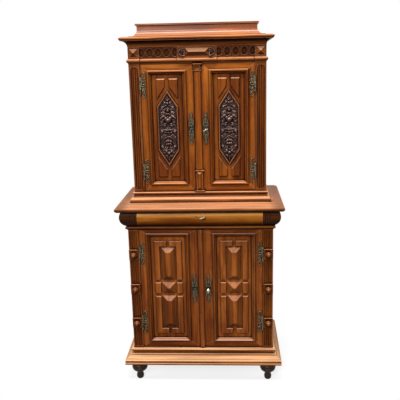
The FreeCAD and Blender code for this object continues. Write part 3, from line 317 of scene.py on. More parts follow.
DRIFT = Grain(9.0, 1.3, 3.0, 0.55)
STREAKS = Grain(85.0, 2.4, 5.0, 0.62, 0.4)
FLECKS = Grain(310.0, 9.0, 2.0, 0.6)
PORES = Grain(1150.0, 34.0, 1.0, 0.5)
BLOTS = Grain(14.0, 5.0, 2.0, 0.6, 0.5)
RINGS_ACROSS, RINGS_THROUGH, RINGS_DRIFT = 46.0, 19.0, 7.5
SHIFT_ACROSS = 0.37
# Span of upward facing over which the painted top light comes in
FADE_SPAN = 0.75
ENDS_SPAN = 0.07
WOOD_SPECULAR = 0.03
WOOD_BUMP = (0.28, 0.0005)
METAL_BUMP = (0.25, 0.0004)


@dataclass(frozen=True)
class Wood:
    """Waxed wood with figure and pores, grime and painted shade in its hollows, worn edges with a painted
    highlight, painted light on faces that look up and painted shade on faces that look down or aside.
    """

    name: str
    layout: Layout
    pale: Colour
    middle: Colour
    deep: Colour
    # Colour of worn edges and of the painted light on tops and edges
    rubbed: Colour
    # Colour of pores, grime and painted shade
    grime_colour: Colour
    shift: float = 0.0
    polish: float = 0.04
    rough: float = 0.40
    gloss: float = 0.20
    # Strength of the grime and painted shade in hollows and creases
    grime: float = 0.95
    # Strength of the worn edges with their painted highlight
    wear: float = 0.6
    # Painted light on faces that look up, and the facing where it starts
    fade: float = 0.35
    fade_from: float = 0.1
    # Painted shade on faces that look down, and the facing where it is full
    shelter: float = 0.85
    underside: float = 0.8
    ends: float | None = None
    # Painted shade on slopes that face sideways
    flank: float = 0.45
    arris: float = 0.003
    reach: float = 0.026
    crease: float = 0.013
    crease_full: float = 0.40

    def material(self) -> bpy.types.Material:
        """Makes the material.

        Returns:
            The material.
        """
        g = Graph(bpy.data.materials.new(self.name))
        place = g.coordinates("Object")
        along, across, through = self.layout.along(place)
        fibres = (along + self.shift, across + self.shift * SHIFT_ACROSS, through)
        grains = (DRIFT, STREAKS, FLECKS, PORES, BLOTS)
        drift, streaks, fleck, pore, blot = (grain.field(g, fibres) for grain in grains)
        pores = pore.eased(0.60, 0.70)
        rings = (fibres[1] * RINGS_ACROSS + through * RINGS_THROUGH + drift * RINGS_DRIFT).wave()
        tone = streaks.eased(0.30, 0.72)
        aside, _, up = g.coordinates("Normal")
        slope = abs(aside)
        # Painted light on faces that look up
        lit = up.eased(self.fade_from, self.fade_from + FADE_SPAN)
        # Grime and painted shade in creases and hollows
        corner = g.hollows(self.crease).eased(self.crease_full * 0.25, self.crease_full)
        dirt = corner.most(g.hollows(self.reach).eased(0.15, 0.7) * 0.6) * self.grime
        layers = [
            (drift.eased(0.42, 0.74) * 0.7, self.pale),
            (blot.eased(0.45, 0.75) * 0.55, self.deep),
            (rings ** 3.0 * 0.55 * (0.45 + fleck * 0.5), self.deep),
            (pores * 0.42, self.grime_colour),
            # Painted highlight on faces that look up, streaked with the grain
            (lit * (self.fade * (0.35 + drift * 0.4 + tone * 0.6)), self.rubbed),
        ]
        if self.ends:
            layers.append((abs(place[0]).eased(self.ends, self.ends + ENDS_SPAN) * 0.7, self.deep))
        layers += [
            # Painted shade on faces that look down
            ((0.0 - up).eased(0.05, self.underside) * self.shelter, self.grime_colour),
            # Painted shade on slopes that face sideways
            (slope.eased(0.08, 0.5) * (1.0 - slope.eased(0.7, 0.95)) * self.flank, self.grime_colour),
            # Worn edges with a painted highlight on them
            (g.edges(self.arris) * (self.wear * (0.45 + streaks * 0.8)), self.rubbed),
            # Grime and painted shade laid into the creases and hollows
            (dirt, self.grime_colour),
        ]
        return g.finish({
            "Base Color": g.layered(g.blend(tone, self.deep, self.middle), layers),
            "Roughness": self.rough + (streaks - 0.5) * 0.16 + dirt * 0.22 + pores * 0.10,
            "Coat Weight": self.polish * (1.0 - dirt), "Coat Roughness": self.gloss,
            "Specular IOR Level": WOOD_SPECULAR,
            "Normal": g.bump(streaks * 0.45 + (1.0 - pores) * 0.5 + fleck * 0.25, *WOOD_BUMP),
        })


@dataclass(frozen=True)
class Metal:
    """Old metal: dull in its hollows, bright where it is handled, with a painted highlight on its edges."""

    name: str
    bright: Colour
    dull: Colour
    patina: Colour
    rough: float = 0.38
    grain: float = 160.0
    fine_grain: float = 900.0
    metallic: float = 0.75
    arris: float = 0.0012
    crease: float = 0.004

    def material(self) -> bpy.types.Material:
        """Makes the material.

        Returns:
            The material.
        """
        g = Graph(bpy.data.materials.new(self.name))
        place = g.coordinates("Object")
        cloud = g.noise(g.vector(*(part * self.grain for part in place)), 4.0, 0.6, 0.3)
        fine = g.noise(g.vector(*(part * self.fine_grain for part in place)), 2.0, 0.6)
        dirt = g.hollows(self.crease).eased(0.2, 0.7)
        layers = (
            (cloud.eased(0.55, 0.75) * 0.5, self.patina),
            # Edges worn bright, with a painted highlight
            (g.edges(self.arris) * 0.8, self.bright),
            (dirt * 0.85, self.dull),
        )
        return g.finish({
            "Base Color": g.layered(g.blend(cloud.eased(0.35, 0.68), self.dull, self.bright), layers),
            "Roughness": self.rough + (fine - 0.5) * 0.2 + dirt * 0.2, "Metallic": self.metallic,
            "Normal": g.bump(fine * 0.4 + cloud, *METAL_BUMP),
        })


class Tone(Enum):
    """Shades of the walnut as display values: pale, middle, deep, rubbed-and-highlight colour (worn edges and
    painted light) and grime-and-shade colour (pores, grime and painted shade).
    """

    CASE = ((186, 108, 38), (146, 78, 24), (92, 40, 14), (208, 142, 98), (26, 9, 3))
    PANEL = ((168, 94, 31), (130, 66, 20), (72, 31, 11), (220, 160, 122), (20, 7, 3))
    RED = ((194, 112, 47), (154, 82, 32), (92, 41, 17), (214, 160, 130), (22, 8, 3))
    FRET = ((116, 62, 25), (88, 45, 18), (52, 24, 9), (164, 102, 62), (10, 4, 2))
    DARK = ((78, 46, 34), (56, 32, 23), (34, 18, 13), (188, 138, 120), (12, 6, 5))
    TOP = ((178, 106, 50), (146, 80, 34), (92, 48, 20), (222, 156, 112), (34, 14, 6))
    HONEY = ((232, 144, 44), (208, 116, 28), (142, 68, 14), (252, 188, 104), (32, 12, 4))
    PALE = ((210, 136, 66), (180, 104, 44), (112, 54, 19), (242, 190, 142), (30, 12, 5))
    BARE = ((182, 142, 94), (158, 118, 74), (124, 88, 54), (196, 160, 116), (62, 44, 28))


def wood(name: str, tone: Tone, layout: Layout, **changes: float) -> Wood:
    """A wood finish in one of the tones, with the values that differ from the usual ones."""
    return Wood(name, layout, *(srgb(*shade) for shade in tone.value), **changes)


def bare(name: str, layout: Layout) -> Wood:
    """Unpolished wood of the hidden boards."""
    return wood(name, Tone.BARE, layout, polish=0.0, rough=0.7, wear=0.1)


BRONZE = Metal("aged_bronze", srgb(152, 138, 108), srgb(18, 15, 10), srgb(54, 51, 40), 0.38)
HINGE_BRONZE = Metal("hinge_bronze", srgb(142, 128, 98), srgb(14, 11, 8), srgb(36, 33, 25), 0.4)
BRONZE_GROUND = Metal("bronze_ground", srgb(58, 50, 36), srgb(12, 9, 6), srgb(30, 28, 20), 0.5)
KEY_METAL = Metal(
    "handled_key_metal", srgb(226, 216, 190), srgb(128, 116, 92), srgb(196, 186, 160), 0.26, 90.0)
LOCK_IRON = Metal("oiled_iron", srgb(112, 106, 100), srgb(52, 47, 43), srgb(92, 66, 48), 0.5, 70.0)


class Slot(Enum):
    """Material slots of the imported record."""

    WALNUT = "walnut"
    PANEL = "walnut_panel"
    DARK = "walnut_dark"
    BARE = "secondary_wood"
    BRONZE = "bronze"
    KEY = "key_metal"
    IRON = "lock_iron"


# Widths of softened edges in metres
SOFT_EDGE, FINE_EDGE, THIN_EDGE, FOOT_EDGE = 0.0009, 0.0006, 0.0005, 0.002

# Bends in degrees past which an edge is sharp, on pieces of each kind
HIPPED, MOULDED, TURNED, CARVED = 9.0, 40.0, 50.0, 60.0

# Corners nearer than this, in metres, are one, and faces that bend less than this, in radians, are flat
WELD, FLAT = 2e-6, 0.004

# A face looks forward where the depth part of its normal is below this
FORWARD = -0.9


def placed(name: str, data: bpy.types.ID) -> bpy.types.Object:
    """A new object in the scene."""
    made = bpy.data.objects.new(name, data)
    bpy.context.scene.collection.objects.link(made)
    return made


def meshed(name: str, bm: Mesh) -> bpy.types.Object:
    """A new object in the scene with a bmesh, which is freed, as its mesh."""
    mesh = bpy.data.meshes.new(name)
    bm.to_mesh(mesh)
    bm.free()
    return placed(name, mesh)


class Workshop:
    """Makes pieces, puts their finish on them and lets them ride on their body."""

    def __init__(self) -> None:
        """Starts with no finishes made."""
        self.made: dict[str, bpy.types.Material] = {}
        record = frame["record"]
        self.body_of = {node: body for body, nodes in record["behaviour"]["bodies"].items() for node in nodes}
        self.slot_of = {part["node"]: Slot(part["material_slot"]) for part in record["subparts"]}

    def material(self, finish: Finish) -> bpy.types.Material:
        """The material of a finish, made once."""
        if finish.name not in self.made:
            self.made[finish.name] = finish.material()
        return self.made[finish.name]

    def piece(self, name: str, bm: Mesh, finish: Finish, slot: Slot, body: str,
              stands_for: Sequence[str] = (), smooth: float = CARVED, weighted: bool = False,
              front: Wood | None = None) -> None:
        """Turns a bmesh into a dressed piece.

        Args:
            name: Name of the piece.
            bm: The mesh, freed here.
            finish: Its finish.
            slot: Its material slot; not used.
            body: The body that it rides on.
            stands_for: CAD nodes that it stands for.
            smooth: Edges that bend more than this, in degrees, stay sharp.
            weighted: Shades large flat faces flat.
            front: Finish of the faces that look forward, where it differs.
        """
        limit = math.radians(smooth)
        for face in bm.faces:
            face.smooth = True
            face.material_index = int(front is not None and face.normal.y < FORWARD)
        for edge in bm.edges:
            edge.smooth = len(edge.link_faces) == 2 and edge.calc_face_angle(0.0) < limit
        made = meshed(name, bm)
        for kind in (finish, front):
            if kind:
                made.data.materials.append(self.material(kind))
        if weighted:
            made.modifiers.new("flat_faces", "WEIGHTED_NORMAL").keep_sharp = True
        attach(made, body)
        if stands_for:
            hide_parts(*stands_for)
        log.info("%s: %d faces", name, len(made.data.polygons))

    def skin(self, node: str, finish: Finish, bevel: float = SOFT_EDGE, smooth: float = MOULDED,
             drop: Callable[[Vector, Vector], bool] | None = None, front: Wood | None = None) -> None:
        """A copy of a CAD node with its edges softened.

        Args:
            node: The node.
            finish: Its finish.
            bevel: Width of the softened edges in metres.
            smooth: Edges that bend more than this, in degrees, are softened.
            drop: Tells from the corners of a loose part whether it is left out.
            front: Finish of the faces that look forward, where it differs.
        """
        bm = bmesh.new()
        bm.from_mesh(frame["nodes"][node].data)
        bmesh.ops.remove_doubles(bm, verts=bm.verts, dist=WELD)
        self._open_joints(bm)
        bmesh.ops.dissolve_limit(bm, angle_limit=FLAT, verts=bm.verts, edges=bm.edges,
                                 use_dissolve_boundaries=False)
        self._open_joints(bm)
        if drop:
            gone = [part for part in islands(bm) if drop(*corners(part))]
            bmesh.ops.delete(bm, geom=[v for part in gone for v in part], context="VERTS")
        limit = math.radians(smooth)
        sharp = [e for e in bm.edges if e.is_manifold and e.calc_face_angle(0.0) > limit]
        if bevel and sharp:
            bmesh.ops.bevel(bm, geom=sharp, offset=bevel, offset_type="OFFSET", segments=2, profile=0.5,
                            affect="EDGES", clamp_overlap=True, material=-1)
        bm.normal_update()
        slot, body = self.slot_of[node], self.body_of[node]
        self.piece(node + ".skin", bm, finish, slot, body, [node], smooth, True, front)

    @staticmethod
    def _open_joints(bm: Mesh) -> None:
        """Removes pairs of faces that lie against each other inside a joint."""
        seen: dict[frozenset, bmesh.types.BMFace] = {}
        twins = set()
        for face in bm.faces:
            key = frozenset(v.index for v in face.verts)
            if key in seen:
                twins.update((face, seen[key]))
            seen[key] = face
        bmesh.ops.delete(bm, geom=list(twins), context="FACES_ONLY")
        bm.verts.index_update()

    def dress(self, node: str, tone: Tone, layout: Layout, bevel: float = SOFT_EDGE, smooth: float = MOULDED,
              **changes: float) -> Wood:
        """Softens a CAD node and gives it a wood finish of its own.

        Args:
            node: The node.
            tone: Shades of the finish.
            layout: How its fibres run.
            bevel: Width of the softened edges in metres.
            smooth: Edges that bend more than this, in degrees, are softened.
            changes: Values of the finish that differ from the usual ones.

        Returns:
            The finish.
        """
        finish = wood(node + "_walnut", tone, layout, **changes)
        self.skin(node, finish, bevel, smooth)
        return finish

    def plain(self, finish: Finish, *nodes: str) -> None:
        """Gives CAD nodes that stay as they are a finish.

        Args:
            finish: The finish.
            nodes: The nodes.
        """
        for node in nodes:
            slots = frame["nodes"][node].data.materials
            slots.clear()
            slots.append(self.material(finish))


def islands(bm: Mesh) -> list[list[bmesh.types.BMVert]]:
    """Vertices of each loose part of a mesh.

    Args:
        bm: The mesh.

    Returns:
        One list for each part.
    """
    left = set(bm.verts)
    parts = []
    while left:
        part = [left.pop()]
        for vertex in part:
            near = {e.other_vert(vertex) for e in vertex.link_edges} & left
            left -= near
            part.extend(near)
        parts.append(part)
    return parts


def corners(part: Iterable[bmesh.types.BMVert]) -> tuple[Vector, Vector]:
    """Lowest and highest corner of a loose part."""
    points = [v.co for v in part]
    low, high = (Vector([pick(p[i] for p in points) for i in range(3)]) for pick in (min, max))
    return low, high


def turning(bm: Mesh, profile: Sequence[Point], start: Vector, axis: Vector, steps: int = 32) -> None:
    """Turns a profile round an axis.

    Args:
        bm: Mesh that gets the turning.
        profile: Radius and height of each point, in metres.
        start: Where the height is zero.
        axis: Direction of the axis.
        steps: Steps of the full turn.
    """
    lean = Vector((0, 0, 1)).rotation_difference(axis)
    before = set(bm.verts)
    verts = [bm.verts.new(start + lean @ Vector((r, 0, h))) for r, h in profile]
    edges = [bm.edges.new(pair) for pair in zip(verts, verts[1:])]
    bmesh.ops.spin(bm, geom=verts + edges, cent=start, axis=axis, angle=math.tau, steps=steps, use_merge=True)
    bmesh.ops.remove_doubles(bm, verts=[v for v in bm.verts if v not in before], dist=1e-6)
    faces = {f for v in bm.verts if v not in before for f in v.link_faces}
    bmesh.ops.recalc_face_normals(bm, faces=list(faces))


def rounded(profile: Sequence[Point], steps: int) -> list[Point]:
    """A profile with its corners drawn out into curves.

    Args:
        profile: Points that the curve passes through.
        steps: Points for each span.

    Returns:
        The finer profile, with no negative radius.
    """
    points = [Vector(p) for p in profile]
    padded = [points[0], *points, points[-1]]
    fine = []
    for a, b, c, d in zip(padded, padded[1:], padded[2:], padded[3:]):
        for i in range(steps):
            t = i / steps
            bend = (c - a) * t + (2 * a - 5 * b + 4 * c - d) * t ** 2 + (3 * b - a - 3 * c + d) * t ** 3
            fine.append(tuple(b + bend / 2))
    fine.append(tuple(points[-1]))
    return [(max(r, 0.0), h) for r, h in fine]


@dataclass(frozen=True)
class Ground:
    """Upright plane that relief lies on, measured in millimetres from a point on it.

    A turn of minus one mirrors the relief sideways, and an over of minus one turns it upside down.
    """

    x: float
    y: float
    z: float
    turn: float = 1.0
    over: float = 1.0

    @classmethod
    def front_of(cls, node: str, sunk: float = 0.0, over: float = 1.0) -> "Ground":
        """The front of a CAD node's box, or a plane sunk behind it, measured from the middle."""
        low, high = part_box(node)
        return cls((low.x + high.x) / 2, low.y + sunk * MM, (low.z + high.z) / 2, over=over)

    def at(self, u: float, v: float, rise: float = 0.0) -> Vector:
        """Place of a point so far across, up and out of the plane."""
        return Vector((self.x + self.turn * u * MM, self.y - rise * MM, self.z + self.over * v * MM))


def even(radius: float, *points: Point) -> Strand:
    """A strand of one radius through points."""
    return [(u, v, radius) for u, v in points]


def arc(middle: Point, reach: Point, start: float, end: float, steps: int) -> list[Point]:
    """Points on an ellipse.

    Args:
        middle: Its middle.
        reach: Half its width and half its height.
        start: Angle of the first point in degrees, against the clock from the right.
        end: Angle of the last point.
        steps: Steps between them.

    Returns:
        The points.
    """
    turns = [math.radians(start + (end - start) * i / steps) for i in range(steps + 1)]
    return [(middle[0] + reach[0] * math.cos(a), middle[1] + reach[1] * math.sin(a)) for a in turns]


def volute(eye: Point, radius: float, start: float, turns: float, thick: float,
           tail: Sequence[Point] = ()) -> Strand:
    """A scroll that winds in to its eye.

    Args:
        eye: Its middle.
        radius: Its reach.
        start: Direction from the eye to the outer end, in degrees.
        turns: Turns, against the clock where positive.
        thick: Radius of the strand.
        tail: Points that lead to the outer end.

    Returns:
        The scroll as a strand.
    """
    strand = list(even(thick * 0.7, *tail))
    steps = round(abs(turns) * 9)
    for i in range(steps + 1):
        share = i / steps
        reach = radius * (1 - 0.86 * share ** 0.8)
        angle = math.radians(start) + math.tau * turns * share
        place = (eye[0] + reach * math.cos(angle), eye[1] + reach * math.sin(angle))
        strand.append((*place, thick * (1 - 0.3 * share)))
    return strand


@dataclass(frozen=True)
class Motif:
    """Forms of one part of a carving, each with what the carver's method for it takes."""

    leaves: Sequence[tuple] = ()
    bosses: Sequence[tuple] = ()
    scrolls: Sequence[tuple] = ()
    strands: Sequence[tuple] = ()


class Carver:
    """Carves relief on a ground: strands, leaves and bosses, each also mirrored across the stem."""

    def __init__(self, ground: Ground, bm: Mesh | None = None, mirrored: bool = True,
                 full: float = 1.0) -> None:
        """Starts with a plain ground.

        Args:
            ground: The plane.
            bm: Mesh that gets the relief, a new one where it isn't given.
            mirrored: Carves each form on both sides of the stem.
            full: How much fuller leaves and bosses are than their sizes say.
        """
        self.ground = ground
        self.full = full
        self.sides = (1, -1) if mirrored else (1,)
        self.bm = bmesh.new() if bm is None else bm
        self.data = bpy.data.curves.new("strands", "CURVE")
        self.data.dimensions = "3D"
        self.data.bevel_depth = MM
        self.data.bevel_resolution = 2
        self.data.resolution_u = 4
        self.data.use_fill_caps = True

    def carve(self, *motifs: Motif) -> None:
        """Carves all forms of the motifs."""
        for motif in motifs:
            for method, forms in ((self.leaf, motif.leaves), (self.boss, motif.bosses),
                                  (self.scroll, motif.scrolls), (self.strand, motif.strands)):
                for form in forms:
                    method(*form)

    def strand(self, points: Strand, rise: float, mirrored: bool = True) -> None:
        """A round strand through points.

        Args:
            points: Across, up and radius of each point.
            rise: Height of its middle over the ground.
            mirrored: Repeats it on the other side.
        """
        for side in self.sides if mirrored else (1,):
            spline = self.data.splines.new("NURBS")
            spline.points.add(len(points) - 1)
            spline.order_u = min(4, len(points))
            spline.use_endpoint_u = True
            for point, (u, v, radius) in zip(spline.points, points):
                point.co = (*self.ground.at(side * u, v, rise), 1.0)
                point.radius = radius

    def scroll(self, eye: Point, radius: float, start: float, turns: float, thick: float, rise: float,
               tail: Sequence[Point] = ()) -> None:
        """A volute with a boss in its eye."""
        self.strand(volute(eye, radius, start, turns, thick, tail), rise)
        self.boss(eye, thick * 1.25, rise + thick * 0.4)

    def boss(self, at: Point, radius: float, rise: float, squash: float = 0.8) -> None:
        """A rounded boss.

        Args:
            at: Its middle.
            radius: Its radius.
            rise: Height of its middle over the ground.
            squash: Its depth over its width.
        """
        for side in self.sides if at[0] else (1,):
            place = Matrix.Translation(self.ground.at(side * at[0], at[1], rise))
            bmesh.ops.create_uvsphere(self.bm, u_segments=14, v_segments=9, radius=radius * self.full * MM,
                                      matrix=place @ Matrix.Diagonal((1, squash, 1, 1)))

    def leaf(self, root: Point, tip: Point, width: float, rise: float, lobes: float = 3.0) -> None:
        """A lobed leaf with a sunk midrib.

        Args:
            root: Where it springs.
            tip: Where it ends.
            width: Half its width.
            rise: Its height over the ground.
            lobes: Lobes on each edge.
        """
        start, run = Vector(root), Vector(tip) - Vector(root)
        edge = Vector((-run.y, run.x)).normalized()
        for side in self.sides if root[0] or tip[0] else (1,):
            made = bmesh.ops.create_grid(self.bm, x_segments=8, y_segments=12, size=1.0)["verts"]
            for vertex in made:
                across, along = vertex.co.x, (vertex.co.y + 1) / 2
                taper = math.sin(math.pi * along ** 0.75) ** 0.7
                spread = self.full * width * taper * (1 - 0.2 * math.cos(lobes * math.tau * along))
                place = start + run * along + edge * across * (spread + 0.1)
                swell = (1 - across ** 2) * (0.5 + 0.5 * math.sin(math.pi * along) + 0.35 * along)
                groove = 0.3 * math.exp(-(across / 0.16) ** 2)
                vertex.co = self.ground.at(side * place.x, place.y, rise * (swell - groove) - 0.4)
            faces = list({face for vertex in made for face in vertex.link_faces})
            self.bm.normal_update()
            bmesh.ops.reverse_faces(self.bm, faces=[f for f in faces if f.normal.y > 0])

    def done(self) -> Mesh:
        """All that was carved, as one mesh.

        Returns:
            The mesh.
        """
        holder = bpy.data.objects.new("strands", self.data)
        mesh = bpy.data.meshes.new_from_object(holder)
        self.bm.from_mesh(mesh)
        bpy.data.objects.remove(holder)
        bpy.data.meshes.remove(mesh)
        bpy.data.curves.remove(self.data)
        return self.bm


# Radius of the main stems in the lozenge, in millimetres
STEM = 3.7

# Low leaves that fill the ground of the lozenge behind the scrolls
UNDERGROWTH = Motif(leaves=[(root, tip, width, 3.6, 2.0) for root, tip, width in (
    ((6, 146), (27, 134), 5.0), ((8, 106), (45, 106), 6.5), ((6, 86), (48, 76), 6.5),
    ((10, 28), (49, 16), 7.0), ((8, -14), (49, -10), 6.0), ((10, -36), (49, -66), 7.5),
    ((20, -70), (50, -104), 7.0), ((6, -104), (44, -118), 6.0), ((6, -126), (36, -144), 6.0),
    ((4, -150), (22, -160), 4.5),
)])

# Palmette, curled leaves and the upper pair of scrolls
CREST = Motif(
    leaves=(((0, 158), (0, 190), 5.5, 6.0), ((2, 158), (13, 176), 4.5, 5.0), ((2, 136), (25, 153), 6.5, 6.5),
            ((12, 96), (43, 88), 6.0, 6.0)),
    bosses=(((0, 157), 5.0, 3.0), ((0, 141), 6.0, 4.0), ((0, 101), 6.5, 3.0)),
    scrolls=(((30, 116), 11.0, 150, -1.35, STEM, 2.5, ((3, 132), (12, 133))),),
    strands=((even(STEM, (19, 90), (18, 104), (9, 114), (0, 116)), 2.5),),
)

# Swelling vase with its lip and a row of beads, between leaves and scrolls
VASE = Motif(
    leaves=(((14, 74), (47, 58), 8.0, 7.0), ((29, -9), (46, -30), 6.5, 6.0)),
    bosses=(((12, 57), 8.5, 3.5), ((0, 45), 12.0, 3.5), ((0, 66), 5.0, 3.5), ((0, -22), 4.4, 3.0),
            ((9, -22), 3.2, 3.0), ((18, -22), 4.2, 3.0)),
    scrolls=(((36, 37), 10.5, 100, 1.3, STEM, 2.5, ((20, 52), (28, 52))),
             ((19, 18), 11.0, 110, -1.4, STEM, 3.0, ((4, 34), (10, 31)))),
    strands=(([(0, 84, STEM), (10, 82, STEM), (16, 72, STEM * 0.9), (12, 64, STEM * 0.7)], 3.0),
             ([(0, -7, 3.6), (14, -7, 3.6), (25, -6, 3.4), (32, 0, 2.4)], 4.0),
             ([(0, 4, 2.6), (9, 4, 2.6), (16, 3, 2.0)], 3.0)),
)

# Crossed straps over an arched field of leaves
CARTOUCHE = Motif(
    leaves=(((2, -63), (19, -77), 6.0, 6.0), ((2, -80), (19, -92), 5.5, 5.5),
            ((45, -92), (25, -118), 8.5, 7.5)),
    bosses=(((0, -70), 5.5, 3.5), ((0, -88), 6.5, 3.5), ((34, -104), 5.5, 4.5)),
    scrolls=(((39, -48), 9.0, 120, 1.3, STEM, 2.5, ((18, -32), (26, -34))),),
    strands=((even(STEM, (0, -44), (15, -51), (32, -65), (44, -86), (42, -100)), 3.2),
             (even(2.0, (0, -58), (12, -62), (24, -74), (27, -90), (20, -100)), 2.2)),
)

# Lower scrolls and the hanging leaf
PENDANT = Motif(
    leaves=(((0, -148), (0, -190), 6.0, 6.0), ((2, -150), (15, -168), 4.8, 5.0)),
    bosses=(((0, -141), 8.5, 4.0), ((9, -156), 3.6, 3.0)),
    scrolls=(((11, -111), 7.5, 80, -1.3, STEM * 0.85, 2.5),
             ((15, -131), 9.0, 70, 1.3, STEM, 2.5, ((32, -120),))),
    strands=(([(0, -120, 2.4), (8, -120, 2.4), (18, -117, 2.0)], 3.0),),
)

# Upper half of a hinge plate: hook, arch, strap and volute with their leaves
HINGE_HALF = Motif(
    leaves=(((9, 30), (3, 48), 2.6, 3.0, 1.0), ((20, 45), (28, 36), 2.8, 3.0, 1.0)),
    bosses=(((8.5, 65), 3.0, 1.8), ((27, 18), 2.8, 1.8), ((20, 36), 3.2, 1.8)),
    strands=(([(7, 24, 2.6), (9, 38, 3.0), (18, 43, 3.2), (25, 53, 3.2), (22, 66, 3.2), (13, 71, 2.8),
               (7, 66, 2.2)], 1.2),
             ([(3, 1, 2.4), (9, 8, 2.6), (18, 9, 2.6), (26, 2, 2.2)], 1.2),
             ([(3, 10, 2.4), (6, 20, 2.6), (14, 30, 2.6), (25, 27, 2.4), (27, 19, 2.0)], 1.2),
             (volute((17, 19), 6.0, 90, 1.0, 2.0), 1.4)),
)

# Upper half of an escutcheon: lobed edge, neck, bud and volute
ESCUTCHEON_HALF = Motif(
    leaves=(((3, 12), (12, 26), 2.6, 2.6, 1.0),),
    bosses=(((0, 80), 2.6, 0.3), ((12, 45), 2.4, 0.6)),
    strands=(([(3, 60, 1.6), (4, 52, 1.9), (14, 46, 1.9), (11, 38, 1.9), (14, 30, 1.9), (15, 20, 1.9),
               (10, 12, 1.8)], 0.3),
             ([(1, 72, 1.8), (4, 66, 1.6), (2, 58, 1.5), (1, 46, 1.5), (0.5, 30, 1.5)], 0.3),
             (even(1.7, *arc((0, 80), (6.5, 7), 90, -90, 6)), 0.3),
             (volute((7, 33), 5.2, 90, -1.1, 1.6), 0.5)),
)


@dataclass
class LozengeCarving:
    """Candelabrum of scrolls and leaves in the lozenge of an upper door; sizes in millimetres."""

    shop: Workshop
    side: str
    finish: Wood
    bead_finish: Wood
    ground_depth: float = 5.5
    full: float = 1.3
    bead: tuple[Point, ...] = ((0, 207), (55.5, 121), (55.5, -121), (0, -207))
    bead_radius: float = 2.4
    bead_rise: float = -0.6

    def build(self) -> None:
        """Carves the lozenge and the bead round it."""
        node = self.side + "_upper_carving"
        body = self.shop.body_of[node]
        carver = Carver(Ground.front_of(node, self.ground_depth), full=self.full)
        carver.carve(UNDERGROWTH, CREST, VASE, CARTOUCHE, PENDANT)
        self.shop.piece(self.side + "_lozenge_foliage", carver.done(), self.finish, Slot.DARK, body)
        edge = Carver(Ground.front_of(node))
        for ends in zip(self.bead, self.bead[1:]):
            edge.strand(even(self.bead_radius, *ends), self.bead_rise)
        self.shop.piece(self.side + "_lozenge_bead", edge.done(), self.bead_finish, Slot.WALNUT, body)


@dataclass
class ScrollHinges:
    """Pierced hinge plates of one leaf: hooked scrolls round a turned knuckle; its sizes in millimetres."""

    shop: Workshop
    name: str
    side: float
    axis: Point
    face: float
    edge: float
    levels: Point
    barrel: Point = (4.5, 90.0)
    web_reach: float = 6.0

    def build(self) -> None:
        """Builds both hinges of the leaf."""
        node = self.name + "_hinges"
        body = self.shop.body_of[node]
        bm = bmesh.new()
        for z in self.levels:
            for way in (1, -1):
                carver = Carver(Ground(self.edge, self.face, z, -self.side, way), bm, mirrored=False)
                carver.carve(HINGE_HALF)
                carver.done()
            self.knuckle(bm, z)
        self.shop.piece(self.name + "_hinge_scrolls", bm, HINGE_BRONZE, Slot.BRONZE, body, [node])

    def knuckle(self, bm: Mesh, z: float) -> None:
        """Turned upper half of the knuckle with its finial and the web that joins it to the plate."""
        radius, length = (size * MM for size in self.barrel)
        half = length / 2
        base = 0.3 * MM
        profile = [(0, base), (radius, base), (radius, half * 0.2), (radius * 0.86, half * 0.25),
                   (radius, half * 0.3), (radius, half * 0.92), (radius * 0.7, half), (0, half)]
        turning(bm, profile, Vector((*self.axis, z)), Vector((0, 0, 1)), 24)
        inward = self.edge - self.side * self.web_reach * MM
        depth = self.face - self.axis[1]
        size = (abs(inward - self.axis[0]), depth, half)
        middle = Vector(((inward + self.axis[0]) / 2, self.axis[1] + depth / 2, z + half / 2))
        bmesh.ops.create_cube(bm, size=1.0, matrix=Matrix.Translation(middle) @ Matrix.Diagonal((*size, 1)))


@dataclass
class Escutcheon:
    """Relief of one escutcheon: buds, necks and a lobed body with a rib; sizes in millimetres."""

    shop: Workshop
    name: str
    key_drop: float = 6.0
    ring_reach: float = 6.0
    ring_radius: float = 1.4
    pin_levels: Point = (16.0, -26.0)
    pin_radius: float = 3.2

    def build(self) -> None:
        """Dresses the plate and carves its relief."""
        node = self.name + "_escutcheon"
        body = self.shop.body_of[node]
        self.shop.skin(node, BRONZE_GROUND, FINE_EDGE)
        bm = bmesh.new()
        for way in (1, -1):
            half = Carver(Ground.front_of(node, over=way), bm)
            half.carve(ESCUTCHEON_HALF)
            half.done()
        carver = Carver(Ground.front_of(node), bm)
        for level in self.pin_levels:
            carver.boss((0, level), self.pin_radius, 0.6)
        ring = arc((0, -self.key_drop), (self.ring_reach, self.ring_reach), 0, 360, 12)
        carver.strand(even(self.ring_radius, *ring), 0.3, mirrored=False)
        self.shop.piece(self.name + "_escutcheon_relief", carver.done(), BRONZE, Slot.BRONZE, body)


